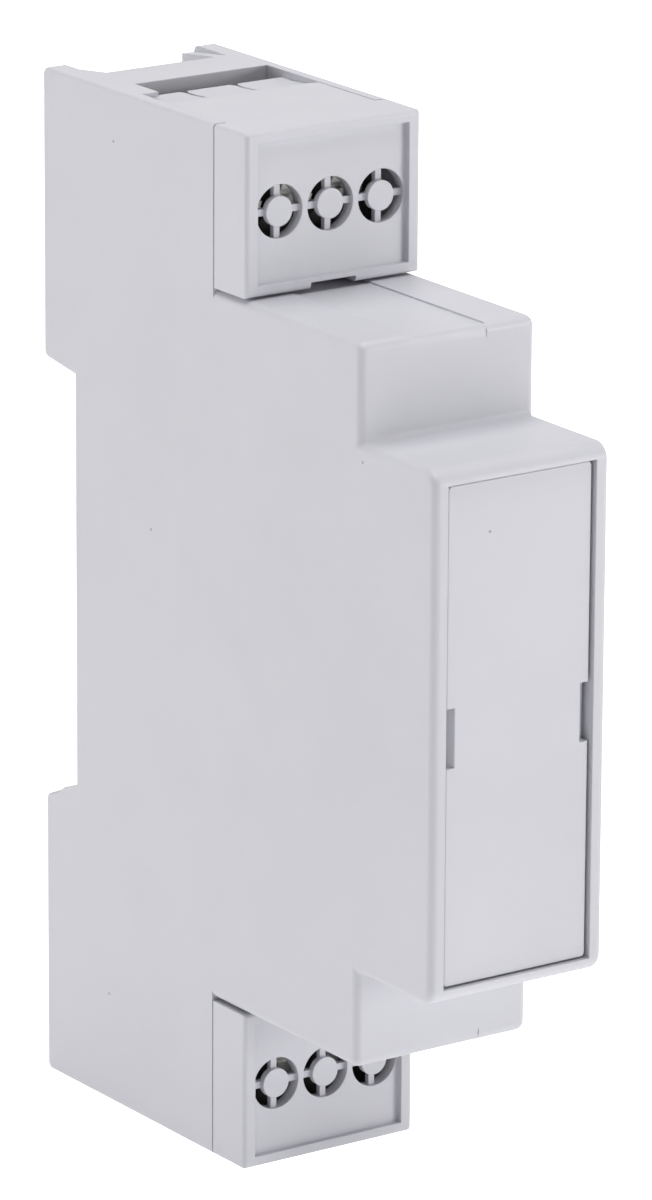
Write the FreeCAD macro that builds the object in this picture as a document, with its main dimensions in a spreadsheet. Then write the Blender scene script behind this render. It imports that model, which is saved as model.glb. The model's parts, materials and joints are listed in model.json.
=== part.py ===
import FreeCAD, Part
import math
import os

import Sketcher

# One-module DIN-rail control relay, in millimetres.
# Origin: centre of the rail seat. +X to the right seen from the front, -Y to the front, +Z up.
# The driving sizes sit in a spreadsheet, and every feature is bound to them by expressions.

SIZES = {
    # overall housing
    "body_width": 17.5,
    "body_height": 90.4,
    "nose_reach": 53.0,
    "nose_height": 45.4,
    "shoulder_reach": 42.5,
    "shoulder_height": 62.2,
    "cover_reach": 26.0,
    "seam_reach": 21.1,
    "recess_depth": 5.0,
    "recess_top": 19.1,
    "recess_bottom": 17.7,
    "recess_rise": 0.7,
    "recess_fall": 2.1,
    "side_wall": 1.2,
    "roof_wall": 1.3,
    "fit_gap": 0.1,
    # foot of the housing, behind the terminal chambers
    "foot_roof": 2.6,
    "chamber_back": 5.0,
    "chamber_wall": 1.2,
    "pocket_lip_end": 8.6,
    "pocket_lip_width": 1.65,
    "pocket_lip_wall": 0.42,
    "trough_width": 11.0,
    "trough_depth": 1.45,
    "trough_run": 5.0,
    "land_width": 13.5,
    "land_depth": 0.6,
    # shallow strip along each shoulder
    "strip_width": 7.6,
    "strip_depth": 0.15,
    "strip_wrap": 1.3,
    # nose frame and its snap-in panel
    "window_width": 14.8,
    "window_height": 42.8,
    "panel_set_back": 0.35,
    "panel_thickness": 1.2,
    "panel_side_gap": 0.25,
    "panel_end_gap": 0.15,
    "ledge_wall": 1.2,
    "ledge_width": 1.1,
    "pry_ramp_width": 0.85,
    "pry_ramp_height": 5.1,
    "pry_ramp_depth": 0.9,
    "panel_leg_reach": 4.5,
    "panel_leg_width": 5.0,
    "panel_leg_wall": 1.0,
    "panel_leg_place": 12.0,
    # rounding of the housing's outside edges
    "nose_side_radius": 0.7,
    "nose_end_radius": 1.5,
    "shoulder_radius": 0.8,
    "edge_radius": 0.3,
    "root_radius": 0.45,
    "back_radius": 0.6,
    # terminal covers
    "cover_lift": 0.2,
    "seam_gap": 0.15,
    "cover_front_wall": 1.7,
    "face_recess": 0.55,
    "border_side": 1.15,
    "border_end": 0.95,
    "pole_pitch": 5.1,
    "screw_height": 38.2,
    "hole_diameter": 4.6,
    "knockout_diameter": 2.6,
    "knockout_wall": 0.6,
    "rib_width": 0.6,
    "rib_set_back": 0.4,
    "rib_wall": 0.5,
    "tongue_drop": 0.03,
    "tongue_wall": 1.4,
    "tongue_gap": 0.04,
    "tongue_end": 7.3,
    "finger_length": 5.6,
    "finger_fall": 0.6,
    "finger_slot": 0.3,
    "finger_corner": 0.45,
    "pry_notch_width": 4.5,
    "pry_notch_height": 0.55,
    "cover_radius": 0.4,
    # rear base with the rail seat and the fixed hook
    "base_wall": 1.6,
    "base_plate": 1.3,
    "seat_relief": 0.15,
    "seat_relief_margin": 0.2,
    "hook_width": 9.0,
    "hook_height": 16.2,
    "flange_room": 1.25,
    "hook_wall": 2.0,
    # sliding rail latch and its spring
    "latch_width": 8.6,
    "latch_wall": 2.3,
    "latch_top": 16.3,
    "latch_end_set_back": 0.6,
    "latch_travel": 3.5,
    "latch_window_width": 4.6,
    "lug_height": 1.5,
    "lug_top": 34.0,
    "spring_wire": 0.35,
    "spring_radius": 0.85,
    "spring_length": 9.3,
    # terminal blocks, clamps, screws and bus bars
    "block_front": 20.9,
    "cell_width": 4.1,
    "cell_front": 17.2,
    "cell_back": 6.1,
    "cell_height": 6.6,
    "clamp_width": 3.7,
    "clamp_height": 5.0,
    "clamp_front": 11.8,
    "clamp_front_wall": 1.0,
    "clamp_back": 6.4,
    "clamp_back_wall": 0.8,
    "clamp_side_wall": 0.45,
    "screw_diameter": 2.5,
    "screw_play": 0.05,
    "screw_head_diameter": 3.9,
    "screw_head_wall": 1.45,
    "screw_seat": 19.0,
    "screw_tip": 11.0,
    "screw_slot": 0.6,
    "screw_slot_depth": 0.75,
    "head_room": 0.3,
    "bar_front": 10.6,
    "bar_wall": 0.8,
    "bar_width": 2.5,
    "bar_tip": 41.0,
    "pin_width": 1.0,
    "pin_rows": 27.5,
    "pin_row_step": 2.0,
    # circuit board
    "board_wall": 1.6,
    "board_side_room": 0.95,
    "board_end_room": 0.3,
    "board_back": 2.6,
    "board_hole": 1.5,
    # relay on the board
    "relay_room": 0.15,
    "relay_width": 10.2,
    "relay_bottom": 10.0,
    "relay_top": 12.8,
    "relay_back": 3.4,
    "relay_wall": 0.5,
    "pivot_radius": 0.2,
    "coil_depth": 6.2,
    "coil_radius": 3.7,
    "core_radius": 1.5,
    "bobbin_flange": 0.8,
    "bobbin_rim": 0.35,
    "bobbin_tube": 0.55,
    "pole_rim": 0.9,
    "pole_wall": 0.8,
    "yoke_wall": 1.1,
    "yoke_width": 7.2,
    "pole_gap": 0.58,
    "armature_wall": 1.0,
    "armature_width": 6.8,
    "leaf_wall": 0.2,
    "leaf_width": 3.0,
    "carrier_wall": 0.9,
    "blade_wall": 0.3,
    "button_wall": 0.3,
    "post_wall": 0.4,
    "contact_swing": 0.68,
}


class Size:
    """A length with the spreadsheet formula that gives it."""

    def __init__(self, value, formula):
        self.value = float(value)
        self.formula = formula

    def _mix(self, other, sign, value):
        return Size(value, "(%s %s %s)" % (self.formula, sign, other.formula))

    def __add__(self, other):
        other = size(other)
        return self._mix(other, "+", self.value + other.value)

    def __sub__(self, other):
        other = size(other)
        return self._mix(other, "-", self.value - other.value)

    def __mul__(self, other):
        other = size(other)
        return self._mix(other, "*", self.value * other.value)

    def __truediv__(self, other):
        other = size(other)
        return self._mix(other, "/", self.value / other.value)

    def __rtruediv__(self, other):
        return size(other) / self

    def __radd__(self, other):
        return size(other) + self

    def __rsub__(self, other):
        return size(other) - self

    def __rmul__(self, other):
        return size(other) * self

    def __neg__(self):
        return Size(-self.value, "(-%s)" % self.formula)


def size(number):
    """Let plain numbers and sizes be mixed."""
    if isinstance(number, Size):
        return number
    return Size(number, "(%r)" % float(number))


doc = FreeCAD.newDocument("control_relay")
sheet = doc.addObject("Spreadsheet::Sheet", "sizes")
S = {}
for row, (alias, number) in enumerate(SIZES.items(), start=1):
    sheet.set("A%d" % row, alias)
    sheet.set("B%d" % row, str(number))
    sheet.setAlias("B%d" % row, alias)
    S[alias] = Size(number, "sizes." + alias)
doc.recompute()

# ---------------------------------------------------------------- modelling helpers

PLANE_SQUARE_TO = {"X": "YZ_Plane", "Y": "XZ_Plane", "Z": "XY_Plane"}
nodes = []


def keep(item, label):
    """Name an object as one of the relay's pieces."""
    item.Label = label
    nodes.append(item)
    return item


def new_body(label):
    """An empty body that becomes one piece."""
    return keep(doc.addObject("PartDesign::Body", label), label)


def rectangle(u_low, v_low, u_high, v_high):
    """Corner points of a rectangle."""
    return [(u_low, v_low), (u_high, v_low), (u_high, v_high), (u_low, v_high)]


def circle(u_centre, v_centre, radius):
    """A round outline."""
    return ("circle", u_centre, v_centre, radius)


def bind_constraint(sketch, kind, first, value):
    """Add a dimension to a sketch and tie it to the spreadsheet."""
    value = size(value)
    constraint = sketch.addConstraint(Sketcher.Constraint(kind, *first, value.value))
    sketch.setExpression("Constraints[%d]" % constraint, value.formula)


def draw_polygon(sketch, points):
    """Closed straight-sided outline, each corner placed from the sketch's origin."""
    corners = [FreeCAD.Vector(size(u).value, size(v).value, 0) for u, v in points]
    lines = []
    for here, there in zip(corners, corners[1:] + corners[:1]):
        lines.append(sketch.addGeometry(Part.LineSegment(here, there), False))
    for here, there in zip(lines, lines[1:] + lines[:1]):
        sketch.addConstraint(Sketcher.Constraint("Coincident", here, 2, there, 1))
    for line, (u, v) in zip(lines, points):
        bind_constraint(sketch, "DistanceX", (-1, 1, line, 1), u)
        bind_constraint(sketch, "DistanceY", (-1, 1, line, 1), v)


def draw_circle(sketch, u, v, radius):
    """Circle with its centre placed from the sketch's origin."""
    centre = FreeCAD.Vector(size(u).value, size(v).value, 0)
    ring = Part.Circle(centre, FreeCAD.Vector(0, 0, 1), size(radius).value)
    index = sketch.addGeometry(ring, False)
    bind_constraint(sketch, "Radius", (index,), radius)
    bind_constraint(sketch, "DistanceX", (-1, 1, index, 3), u)
    bind_constraint(sketch, "DistanceY", (-1, 1, index, 3), v)


def prism(body, name, axis, low, high, outlines, cut=False):
    """Pad, or pocket, closed outlines from low to high along an axis."""
    low, high = size(low), size(high)
    sketch = body.newObject("Sketcher::SketchObject", name + "_outline")
    role = PLANE_SQUARE_TO[axis]
    plane = next(item for item in body.Origin.OriginFeatures if item.Role == role)
    sketch.AttachmentSupport = [(plane, "")]
    sketch.MapMode = "FlatFace"
    start = -high if axis == "Y" else low
    sketch.setExpression("AttachmentOffset.Base.z", start.formula)
    for outline in outlines:
        if outline[0] == "circle":
            draw_circle(sketch, *outline[1:])
        else:
            draw_polygon(sketch, outline)
    kind = "PartDesign::Pocket" if cut else "PartDesign::Pad"
    feature = body.newObject(kind, name)
    feature.Profile = sketch
    feature.Reversed = cut
    feature.setExpression("Length", (high - low).formula)
    return feature


def spin(body, name, profile):
    """Revolve a (radius, depth) profile about the body's own Y axis."""
    sketch = body.newObject("Sketcher::SketchObject", name + "_outline")
    plane = next(item for item in body.Origin.OriginFeatures if item.Role == "XY_Plane")
    sketch.AttachmentSupport = [(plane, "")]
    sketch.MapMode = "FlatFace"
    draw_polygon(sketch, profile)
    feature = body.newObject("PartDesign::Revolution", name)
    feature.Profile = sketch
    feature.ReferenceAxis = (sketch, ["V_Axis"])
    feature.Angle = 360
    return feature


def edges_on(shape, **places):
    """Names of the edges that lie wholly at the given |x|, y or |z|."""
    found = []
    for index, edge in enumerate(shape.Edges, start=1):
        ends = [edge.valueAt(edge.FirstParameter), edge.valueAt(edge.LastParameter)]
        ends.append(edge.valueAt((edge.FirstParameter + edge.LastParameter) / 2))
        measured = {
            "x": [abs(point.x) for point in ends],
            "y": [point.y for point in ends],
            "z": [abs(point.z) for point in ends],
        }
        if all(abs(m - size(value).value) < 1e-4 for key, value in places.items() for m in measured[key]):
            found.append("Edge%d" % index)
    return found


def round_edges(body, name, radius, *choices):
    """Fillet the edges that each choice of places picks out."""
    doc.recompute()
    picked = []
    for places in choices:
        picked += [edge for edge in edges_on(body.Tip.Shape, **places) if edge not in picked]
    if not picked:
        raise RuntimeError("no edges to round for " + name)
    base = body.Tip
    feature = body.newObject("PartDesign::Fillet", name)
    feature.Base = (base, picked)
    feature.setExpression("Radius", size(radius).formula)
    doc.recompute()
    return feature


def bind_place(item, corner):
    """Tie an object's position to the spreadsheet."""
    for letter, value in zip("xyz", corner):
        item.setExpression("Placement.Base." + letter, size(value).formula)


def block(name, low, high):
    """Box between two opposite corners."""
    item = doc.addObject("Part::Box", name)
    for side, start, end in zip(("Length", "Width", "Height"), low, high):
        item.setExpression(side, (size(end) - size(start)).formula)
    bind_place(item, low)
    return item


TURN_TO = {
    "X": FreeCAD.Rotation(FreeCAD.Vector(0, 1, 0), 90),
    "Y": FreeCAD.Rotation(FreeCAD.Vector(1, 0, 0), -90),
    "Z": FreeCAD.Rotation(),
}


def rod(name, axis, start, length, radius):
    """Cylinder from a start point along an axis."""
    item = doc.addObject("Part::Cylinder", name)
    item.setExpression("Radius", size(radius).formula)
    item.setExpression("Height", size(length).formula)
    item.Placement = FreeCAD.Placement(FreeCAD.Vector(), TURN_TO[axis])
    bind_place(item, start)
    return item


def joined(label, parts):
    """One piece fused from several shapes."""
    item = doc.addObject("Part::MultiFuse", label)
    item.Shapes = parts
    item.Refine = True
    return item


def less(label, base, tool):
    """A shape with another cut from it."""
    item = doc.addObject("Part::Cut", label)
    item.Base = base
    item.Tool = tool
    return item


def grouped(label, parts):
    """Several separate solids in one piece's file."""
    item = doc.addObject("Part::Compound", label)
    item.Links = parts
    return item


# ---------------------------------------------------------------- shared places

half_width = S["body_width"] / 2
half_height = S["body_height"] / 2
inner_half = half_width - S["side_wall"]
loose_half = inner_half - S["fit_gap"]
nose_half = S["nose_height"] / 2
shoulder_half = S["shoulder_height"] / 2
partition_half = shoulder_half - S["roof_wall"]
cover_foot = shoulder_half + S["cover_lift"]
latch_end = S["body_height"] / 2 - S["latch_end_set_back"]
back_ceiling = half_height - S["foot_roof"]
tongue_top = half_height - S["tongue_drop"]
tongue_bottom = tongue_top - S["tongue_wall"]
ledge_y = -S["nose_reach"] + S["panel_set_back"] + S["panel_thickness"] + S["fit_gap"]
board_face = -inner_half + S["board_side_room"] + S["board_wall"]
board_back_face = board_face - S["board_wall"]
channel_front = S["flange_room"] - S["fit_gap"]
channel_back = S["flange_room"] + S["latch_wall"] + S["fit_gap"]
bar_back_y = -S["bar_front"] + S["bar_wall"]
SIDES = {"upper": 1, "lower": -1}
POLES = {"left": -1, "middle": 0, "right": 1}


def mirrored_rectangle(u_low, side, v_low, u_high, v_high):
    """Rectangle whose second coordinate is measured up, or down for the lower side."""
    return rectangle(u_low, side * v_low, u_high, side * v_high)


# ---------------------------------------------------------------- housing

def make_housing():
    """Outer shell: both sides, roof, shoulders and nose in one moulding, open at the back."""
    body = new_body("housing_shell")
    deep = S["recess_depth"]
    slope_top = S["recess_top"] + S["recess_rise"]
    slope_bottom = S["recess_bottom"] + S["recess_fall"]
    lip_step = S["recess_bottom"] + S["recess_fall"] / 3
    outline = [
        (deep, half_height),
        (-S["seam_reach"], half_height),
        (-S["seam_reach"], shoulder_half),
        (-S["shoulder_reach"], shoulder_half),
        (-S["shoulder_reach"], nose_half),
        (-S["nose_reach"], nose_half),
        (-S["nose_reach"], -nose_half),
        (-S["shoulder_reach"], -nose_half),
        (-S["shoulder_reach"], -shoulder_half),
        (-S["seam_reach"], -shoulder_half),
        (-S["seam_reach"], -half_height),
        (deep, -half_height),
        (deep, -slope_bottom),
        (deep / 2, -lip_step - 0.35),
        (deep * 0.4, -lip_step),
        (0, -S["recess_bottom"]),
        (0, S["recess_top"]),
        (deep, slope_top),
    ]
    prism(body, "block", "X", -half_width, half_width, [outline])
    round_edges(
        body, "nose_ends", S["nose_end_radius"],
        {"y": -S["nose_reach"], "z": nose_half},
    )
    round_edges(
        body, "nose_sides", S["nose_side_radius"],
        {"x": half_width, "y": -S["nose_reach"]},
        {"x": half_width, "y": -S["shoulder_reach"]},
    )
    round_edges(
        body, "shoulder_fronts", S["shoulder_radius"],
        {"y": -S["shoulder_reach"], "z": shoulder_half},
    )
    round_edges(
        body, "back_edges", S["back_radius"],
        {"y": deep, "z": half_height},
        {"y": deep, "z": slope_bottom},
    )
    round_edges(
        body, "long_edges", S["edge_radius"],
        {"x": half_width, "z": half_height},
        {"x": half_width, "z": shoulder_half},
        {"x": half_width, "z": nose_half},
    )

    round_edges(
        body, "nose_roots", S["root_radius"],
        {"y": -S["shoulder_reach"], "z": nose_half},
    )

    # The hollow: nose, shoulders, and right through to the back.
    nose_back = ledge_y + S["ledge_wall"]
    nose_inner = nose_half - S["roof_wall"]
    shoulder_inner_y = -S["shoulder_reach"] + S["roof_wall"]
    foot_front = -S["chamber_back"] + S["chamber_wall"]
    past_back = deep + 1
    hollow = [
        (nose_back, nose_inner),
        (shoulder_inner_y, nose_inner),
        (shoulder_inner_y, partition_half),
        (foot_front, partition_half),
        (foot_front, back_ceiling),
        (past_back, back_ceiling),
        (past_back, -back_ceiling),
        (foot_front, -back_ceiling),
        (foot_front, -partition_half),
        (shoulder_inner_y, -partition_half),
        (shoulder_inner_y, -nose_inner),
        (nose_back, -nose_inner),
    ]
    prism(body, "hollow", "X", -inner_half, inner_half, [hollow], cut=True)

    # The two terminal chambers, open to the front and outwards.
    for name, side in SIDES.items():
        chamber = mirrored_rectangle(
            -S["seam_reach"] - 1, side, shoulder_half, -S["chamber_back"], half_height + 1)
        prism(body, name + "_chamber", "X", -inner_half, inner_half, [chamber], cut=True)

    # Thin lip that narrows the wire pocket on the left.
    for name, side in SIDES.items():
        lip = mirrored_rectangle(-S["pocket_lip_end"], side, half_height - S["pocket_lip_wall"],
                                 -S["chamber_back"] + 0.2, half_height)
        lip_edge = -inner_half + S["pocket_lip_width"]
        prism(body, name + "_pocket_lip", "X", -inner_half - 0.2, lip_edge, [lip])

    # Slots through the partitions for the bus bars' pins.
    for name, side in SIDES.items():
        slots = []
        for pole in POLES.values():
            centre = pin_centre(pole)
            reach = S["pin_width"] / 2 + S["fit_gap"] * 2
            slots.append(rectangle(
                centre - reach, -S["bar_front"] - S["fit_gap"] * 2,
                centre + reach, bar_back_y + S["fit_gap"] * 2))
        low, high = sorted((side * (partition_half - 1), side * (shoulder_half + 1)), key=lambda s: s.value)
        prism(body, name + "_pin_slots", "Z", low, high, slots, cut=True)

    # Stepped troughs that run out over the roof and the underside at the back.
    for name, side in SIDES.items():
        steps = (
            ("trough", S["trough_width"], S["trough_depth"]),
            ("land", S["land_width"], S["land_depth"]),
        )
        for step, width, depth in steps:
            wedge = [
                (deep + 1, side * (half_height - depth * (1 + 1 / S["trough_run"]))),
                (deep + 1, side * (half_height + 1)),
                (deep - S["trough_run"], side * (half_height + 1)),
                (deep - S["trough_run"], side * half_height),
            ]
            prism(body, "%s_%s" % (name, step), "X", -width / 2, width / 2, [wedge], cut=True)

    # The latch leaves through the underside.
    latch_half = S["latch_width"] / 2 + S["fit_gap"]
    exit_slot = rectangle(-latch_half, channel_front, latch_half, channel_back)
    prism(body, "latch_exit", "Z", -half_height - 1, -back_ceiling + 1, [exit_slot], cut=True)

    # Seat of the front panel, and the ledge behind it.
    window = rectangle(-S["window_width"] / 2, -S["window_height"] / 2, S["window_width"] / 2,
                       S["window_height"] / 2)
    prism(body, "panel_seat", "Y", -S["nose_reach"] - 1, ledge_y, [window], cut=True)
    reach = S["window_width"] / 2 - S["ledge_width"]
    rise = S["window_height"] / 2 - S["ledge_width"]
    window = rectangle(-reach, -rise, reach, rise)
    prism(body, "panel_window", "Y", ledge_y - 1, nose_back + 1, [window], cut=True)

    # Shallow strip along the middle of each shoulder, which runs out down the front.
    strip_half = S["strip_width"] / 2
    for name, side in SIDES.items():
        floor = shoulder_half - S["strip_depth"]
        top = [
            (-S["shoulder_reach"] - 1, side * floor),
            (-S["chamber_back"] - 4, side * floor),
            (-S["chamber_back"] - 4, side * (shoulder_half + 1)),
            (-S["shoulder_reach"] - 1, side * (shoulder_half + 1)),
        ]
        prism(body, name + "_strip", "X", -strip_half, strip_half, [top], cut=True)
        run_out = side * (shoulder_half - S["strip_wrap"])
        front = [
            (-S["shoulder_reach"] - 1, run_out),
            (-S["shoulder_reach"], run_out),
            (-S["shoulder_reach"] + S["strip_depth"], side * floor),
            (-S["shoulder_reach"] + S["strip_depth"], side * shoulder_half),
            (-S["shoulder_reach"] - 1, side * shoulder_half),
        ]
        prism(body, name + "_strip_front", "X", -strip_half, strip_half, [front], cut=True)

    # Ribs that hold the circuit board's edge off the left wall.
    rib = S["board_side_room"] - S["fit_gap"]
    for name, side in SIDES.items():
        for index, y_place in enumerate((-S["shoulder_reach"] + 4, -S["seam_reach"] + 2)):
            outline = mirrored_rectangle(
                y_place, side, partition_half - 6, y_place + 1.2, partition_half + 0.2)
            tag = "%s_board_rib_%d" % (name, index)
            prism(body, tag, "X", -inner_half - 0.2, -inner_half + rib, [outline])
    return body


def pin_centre(pole):
    """X place of a bus bar's pin: the left one stands clear of the circuit board."""
    if pole < 0:
        return board_face + S["fit_gap"] * 2 + S["pin_width"] / 2
    return pole * S["pole_pitch"]


def make_rear_base():
    """Rear closing piece: rail seat, fixed hook above, latch channel below."""
    body = new_body("rear_base")
    wall = S["base_wall"]
    deep = S["recess_depth"]
    plate = deep - S["base_plate"]
    end = back_ceiling - S["fit_gap"]
    top_back = S["recess_top"] + S["recess_rise"]
    bottom_back = S["recess_bottom"] + S["recess_fall"]
    # The seat proper lies between the hook and the latch; beyond it the face steps back.
    land_top = S["hook_height"] - S["seat_relief_margin"]
    land_bottom = S["latch_top"] - S["seat_relief_margin"]
    profile = [
        (deep, end),
        (deep, top_back),
        (0, S["recess_top"]),
        (-S["seat_relief"], S["recess_top"]),
        (-S["seat_relief"], land_top),
        (0, land_top),
        (0, -land_bottom),
        (-S["seat_relief"], -land_bottom),
        (-S["seat_relief"], -S["recess_bottom"]),
        (0, -S["recess_bottom"]),
        (deep, -bottom_back),
        (deep, -end),
        (plate, -end),
        (plate, -bottom_back - wall),
        (-wall, -S["recess_bottom"] - wall),
        (-wall, S["recess_top"] + wall),
        (plate, top_back + wall),
        (plate, end),
    ]
    prism(body, "seat_and_plates", "X", -loose_half, loose_half, [profile])
    hook_back = S["flange_room"] + S["hook_wall"]
    hook = [
        (S["flange_room"], S["recess_top"] + 0.5),
        (S["flange_room"], S["hook_height"] + 0.4),
        (S["flange_room"] + 0.5, S["hook_height"]),
        (hook_back - 0.6, S["hook_height"]),
        (hook_back, S["hook_height"] + 1.2),
        (hook_back, S["recess_top"] + 0.9),
    ]
    prism(body, "hook", "X", -S["hook_width"] / 2, S["hook_width"] / 2, [hook])
    ribs = [
        (plate + 0.2, top_back + wall - 0.4),
        (plate + 0.2, end - 2),
        (plate - 3.0, top_back + wall - 0.2),
    ]
    for index, place in enumerate((-5.4, 4.2)):
        prism(body, "stiffener_%d" % index, "X", place, place + 1.2, [ribs])

    # Channel for the latch: a front wall, two cheeks, and the slot through the lower lip.
    latch_half = S["latch_width"] / 2 + S["fit_gap"]
    guide_top = S["recess_bottom"] + wall - 0.2
    guide_end = S["lug_top"] + S["lug_height"] + 2
    for index, side in enumerate((-1, 1)):
        low, high = sorted((side * latch_half, side * (latch_half + 1.2)), key=lambda s: s.value)
        cheek = rectangle(channel_front - 1.2, -guide_end, plate + 0.2, -guide_top)
        prism(body, "cheek_%d" % index, "X", low, high, [cheek])
    front_wall = rectangle(channel_front - 1.2, -guide_end, channel_front, -guide_top)
    prism(body, "channel_front", "X", -latch_half - 1.2, latch_half + 1.2, [front_wall])
    slot = rectangle(channel_front, -bottom_back - wall - 3, channel_back, -S["recess_bottom"] + 1)
    prism(body, "latch_slot", "X", -latch_half, latch_half, [slot], cut=True)
    lug_half = S["latch_window_width"] / 2 - S["fit_gap"] * 3
    lug = rectangle(channel_front - 0.2, -S["lug_top"] - S["lug_height"], plate + 0.2, -S["lug_top"])
    prism(body, "spring_lug", "X", -lug_half, lug_half, [lug])
    round_edges(body, "back_corners", 0.4, {"x": loose_half, "y": deep})
    return body


def make_latch():
    """Sliding rail latch with a ramped nose, a spring window and a screwdriver slot."""
    body = new_body("rail_latch")
    front = S["flange_room"]
    back = front + S["latch_wall"]
    half = S["latch_width"] / 2
    profile = [
        (front, -S["latch_top"]),
        (front + 0.9, -S["latch_top"]),
        (back, -S["latch_top"] - 2.4),
        (back, -latch_end),
        (front, -latch_end),
    ]
    prism(body, "bar", "X", -half, half, [profile])
    window_half = S["latch_window_width"] / 2
    window_low = -S["lug_top"] - S["lug_height"] - S["fit_gap"]
    window_high = -S["lug_top"] + S["spring_length"] + S["fit_gap"]
    window = rectangle(-window_half, window_low, window_half, window_high)
    prism(body, "spring_window", "Y", front - 1, back + 1, [window], cut=True)
    slot = rectangle(-2.0, -latch_end + 1.4, 2.0, -latch_end + 2.8)
    prism(body, "tool_slot", "Y", front - 1, back + 1, [slot], cut=True)
    round_edges(body, "end_corners", 0.8, {"x": half, "z": latch_end})
    return body


def make_latch_spring():
    """Compression spring in the latch's window, standing on the base's lug."""
    wire = SIZES["spring_wire"]
    radius = SIZES["spring_radius"]
    length = SIZES["spring_length"]
    turns = 7
    pitch = (length - wire - 0.04) / turns
    helix = Part.makeHelix(pitch, pitch * turns, radius)
    ring = Part.Circle(FreeCAD.Vector(radius, 0, 0), FreeCAD.Vector(0, 1, 0), wire / 2)
    wound = Part.Wire(helix).makePipeShell([Part.Wire(ring.toShape())], True, False)
    item = doc.addObject("Part::Feature", "latch_spring")
    item.Shape = wound
    middle = SIZES["flange_room"] + SIZES["latch_wall"] / 2
    item.Placement = FreeCAD.Placement(
        FreeCAD.Vector(0, middle, -SIZES["lug_top"] + wire / 2 + 0.02), FreeCAD.Rotation())
    return keep(item, "latch_spring")


def make_front_panel():
    """Blank panel that snaps into the nose, with a pry ramp at each side."""
    body = new_body("front_panel")
    face = -S["nose_reach"] + S["panel_set_back"]
    back = face + S["panel_thickness"]
    half = S["window_width"] / 2 - S["panel_side_gap"]
    rise = S["window_height"] / 2 - S["panel_end_gap"]
    prism(body, "plate", "Y", face, back, [rectangle(-half, -rise, half, rise)])
    round_edges(body, "corners", 0.35, {"x": half, "z": rise})
    round_edges(body, "face_edge", 0.12, {"y": face})
    for index, side in enumerate((-1, 1)):
        ramp = [
            (side * (half - S["pry_ramp_width"]), face - 0.5),
            (side * (half - S["pry_ramp_width"]), face),
            (side * (half - S["pry_ramp_width"] / 2), face + S["pry_ramp_depth"]),
            (side * (half + 1), face + S["pry_ramp_depth"]),
            (side * (half + 1), face - 0.5),
        ]
        tall = S["pry_ramp_height"] / 2
        prism(body, "pry_ramp_%d" % index, "Z", -tall, tall, [ramp], cut=True)
    leg_half = S["window_width"] / 2 - S["ledge_width"] - S["fit_gap"]
    for index, (side, level) in enumerate([(-1, -1), (-1, 1), (1, -1), (1, 1)]):
        inside = leg_half - S["panel_leg_wall"]
        low, high = sorted((side * inside, side * leg_half), key=lambda s: s.value)
        centre = level * S["panel_leg_place"]
        leg = rectangle(back - 0.2, centre - S["panel_leg_width"] / 2,
                        back + S["panel_leg_reach"], centre + S["panel_leg_width"] / 2)
        prism(body, "leg_%d" % index, "X", low, high, [leg])
    return body


# ---------------------------------------------------------------- terminal covers

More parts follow.
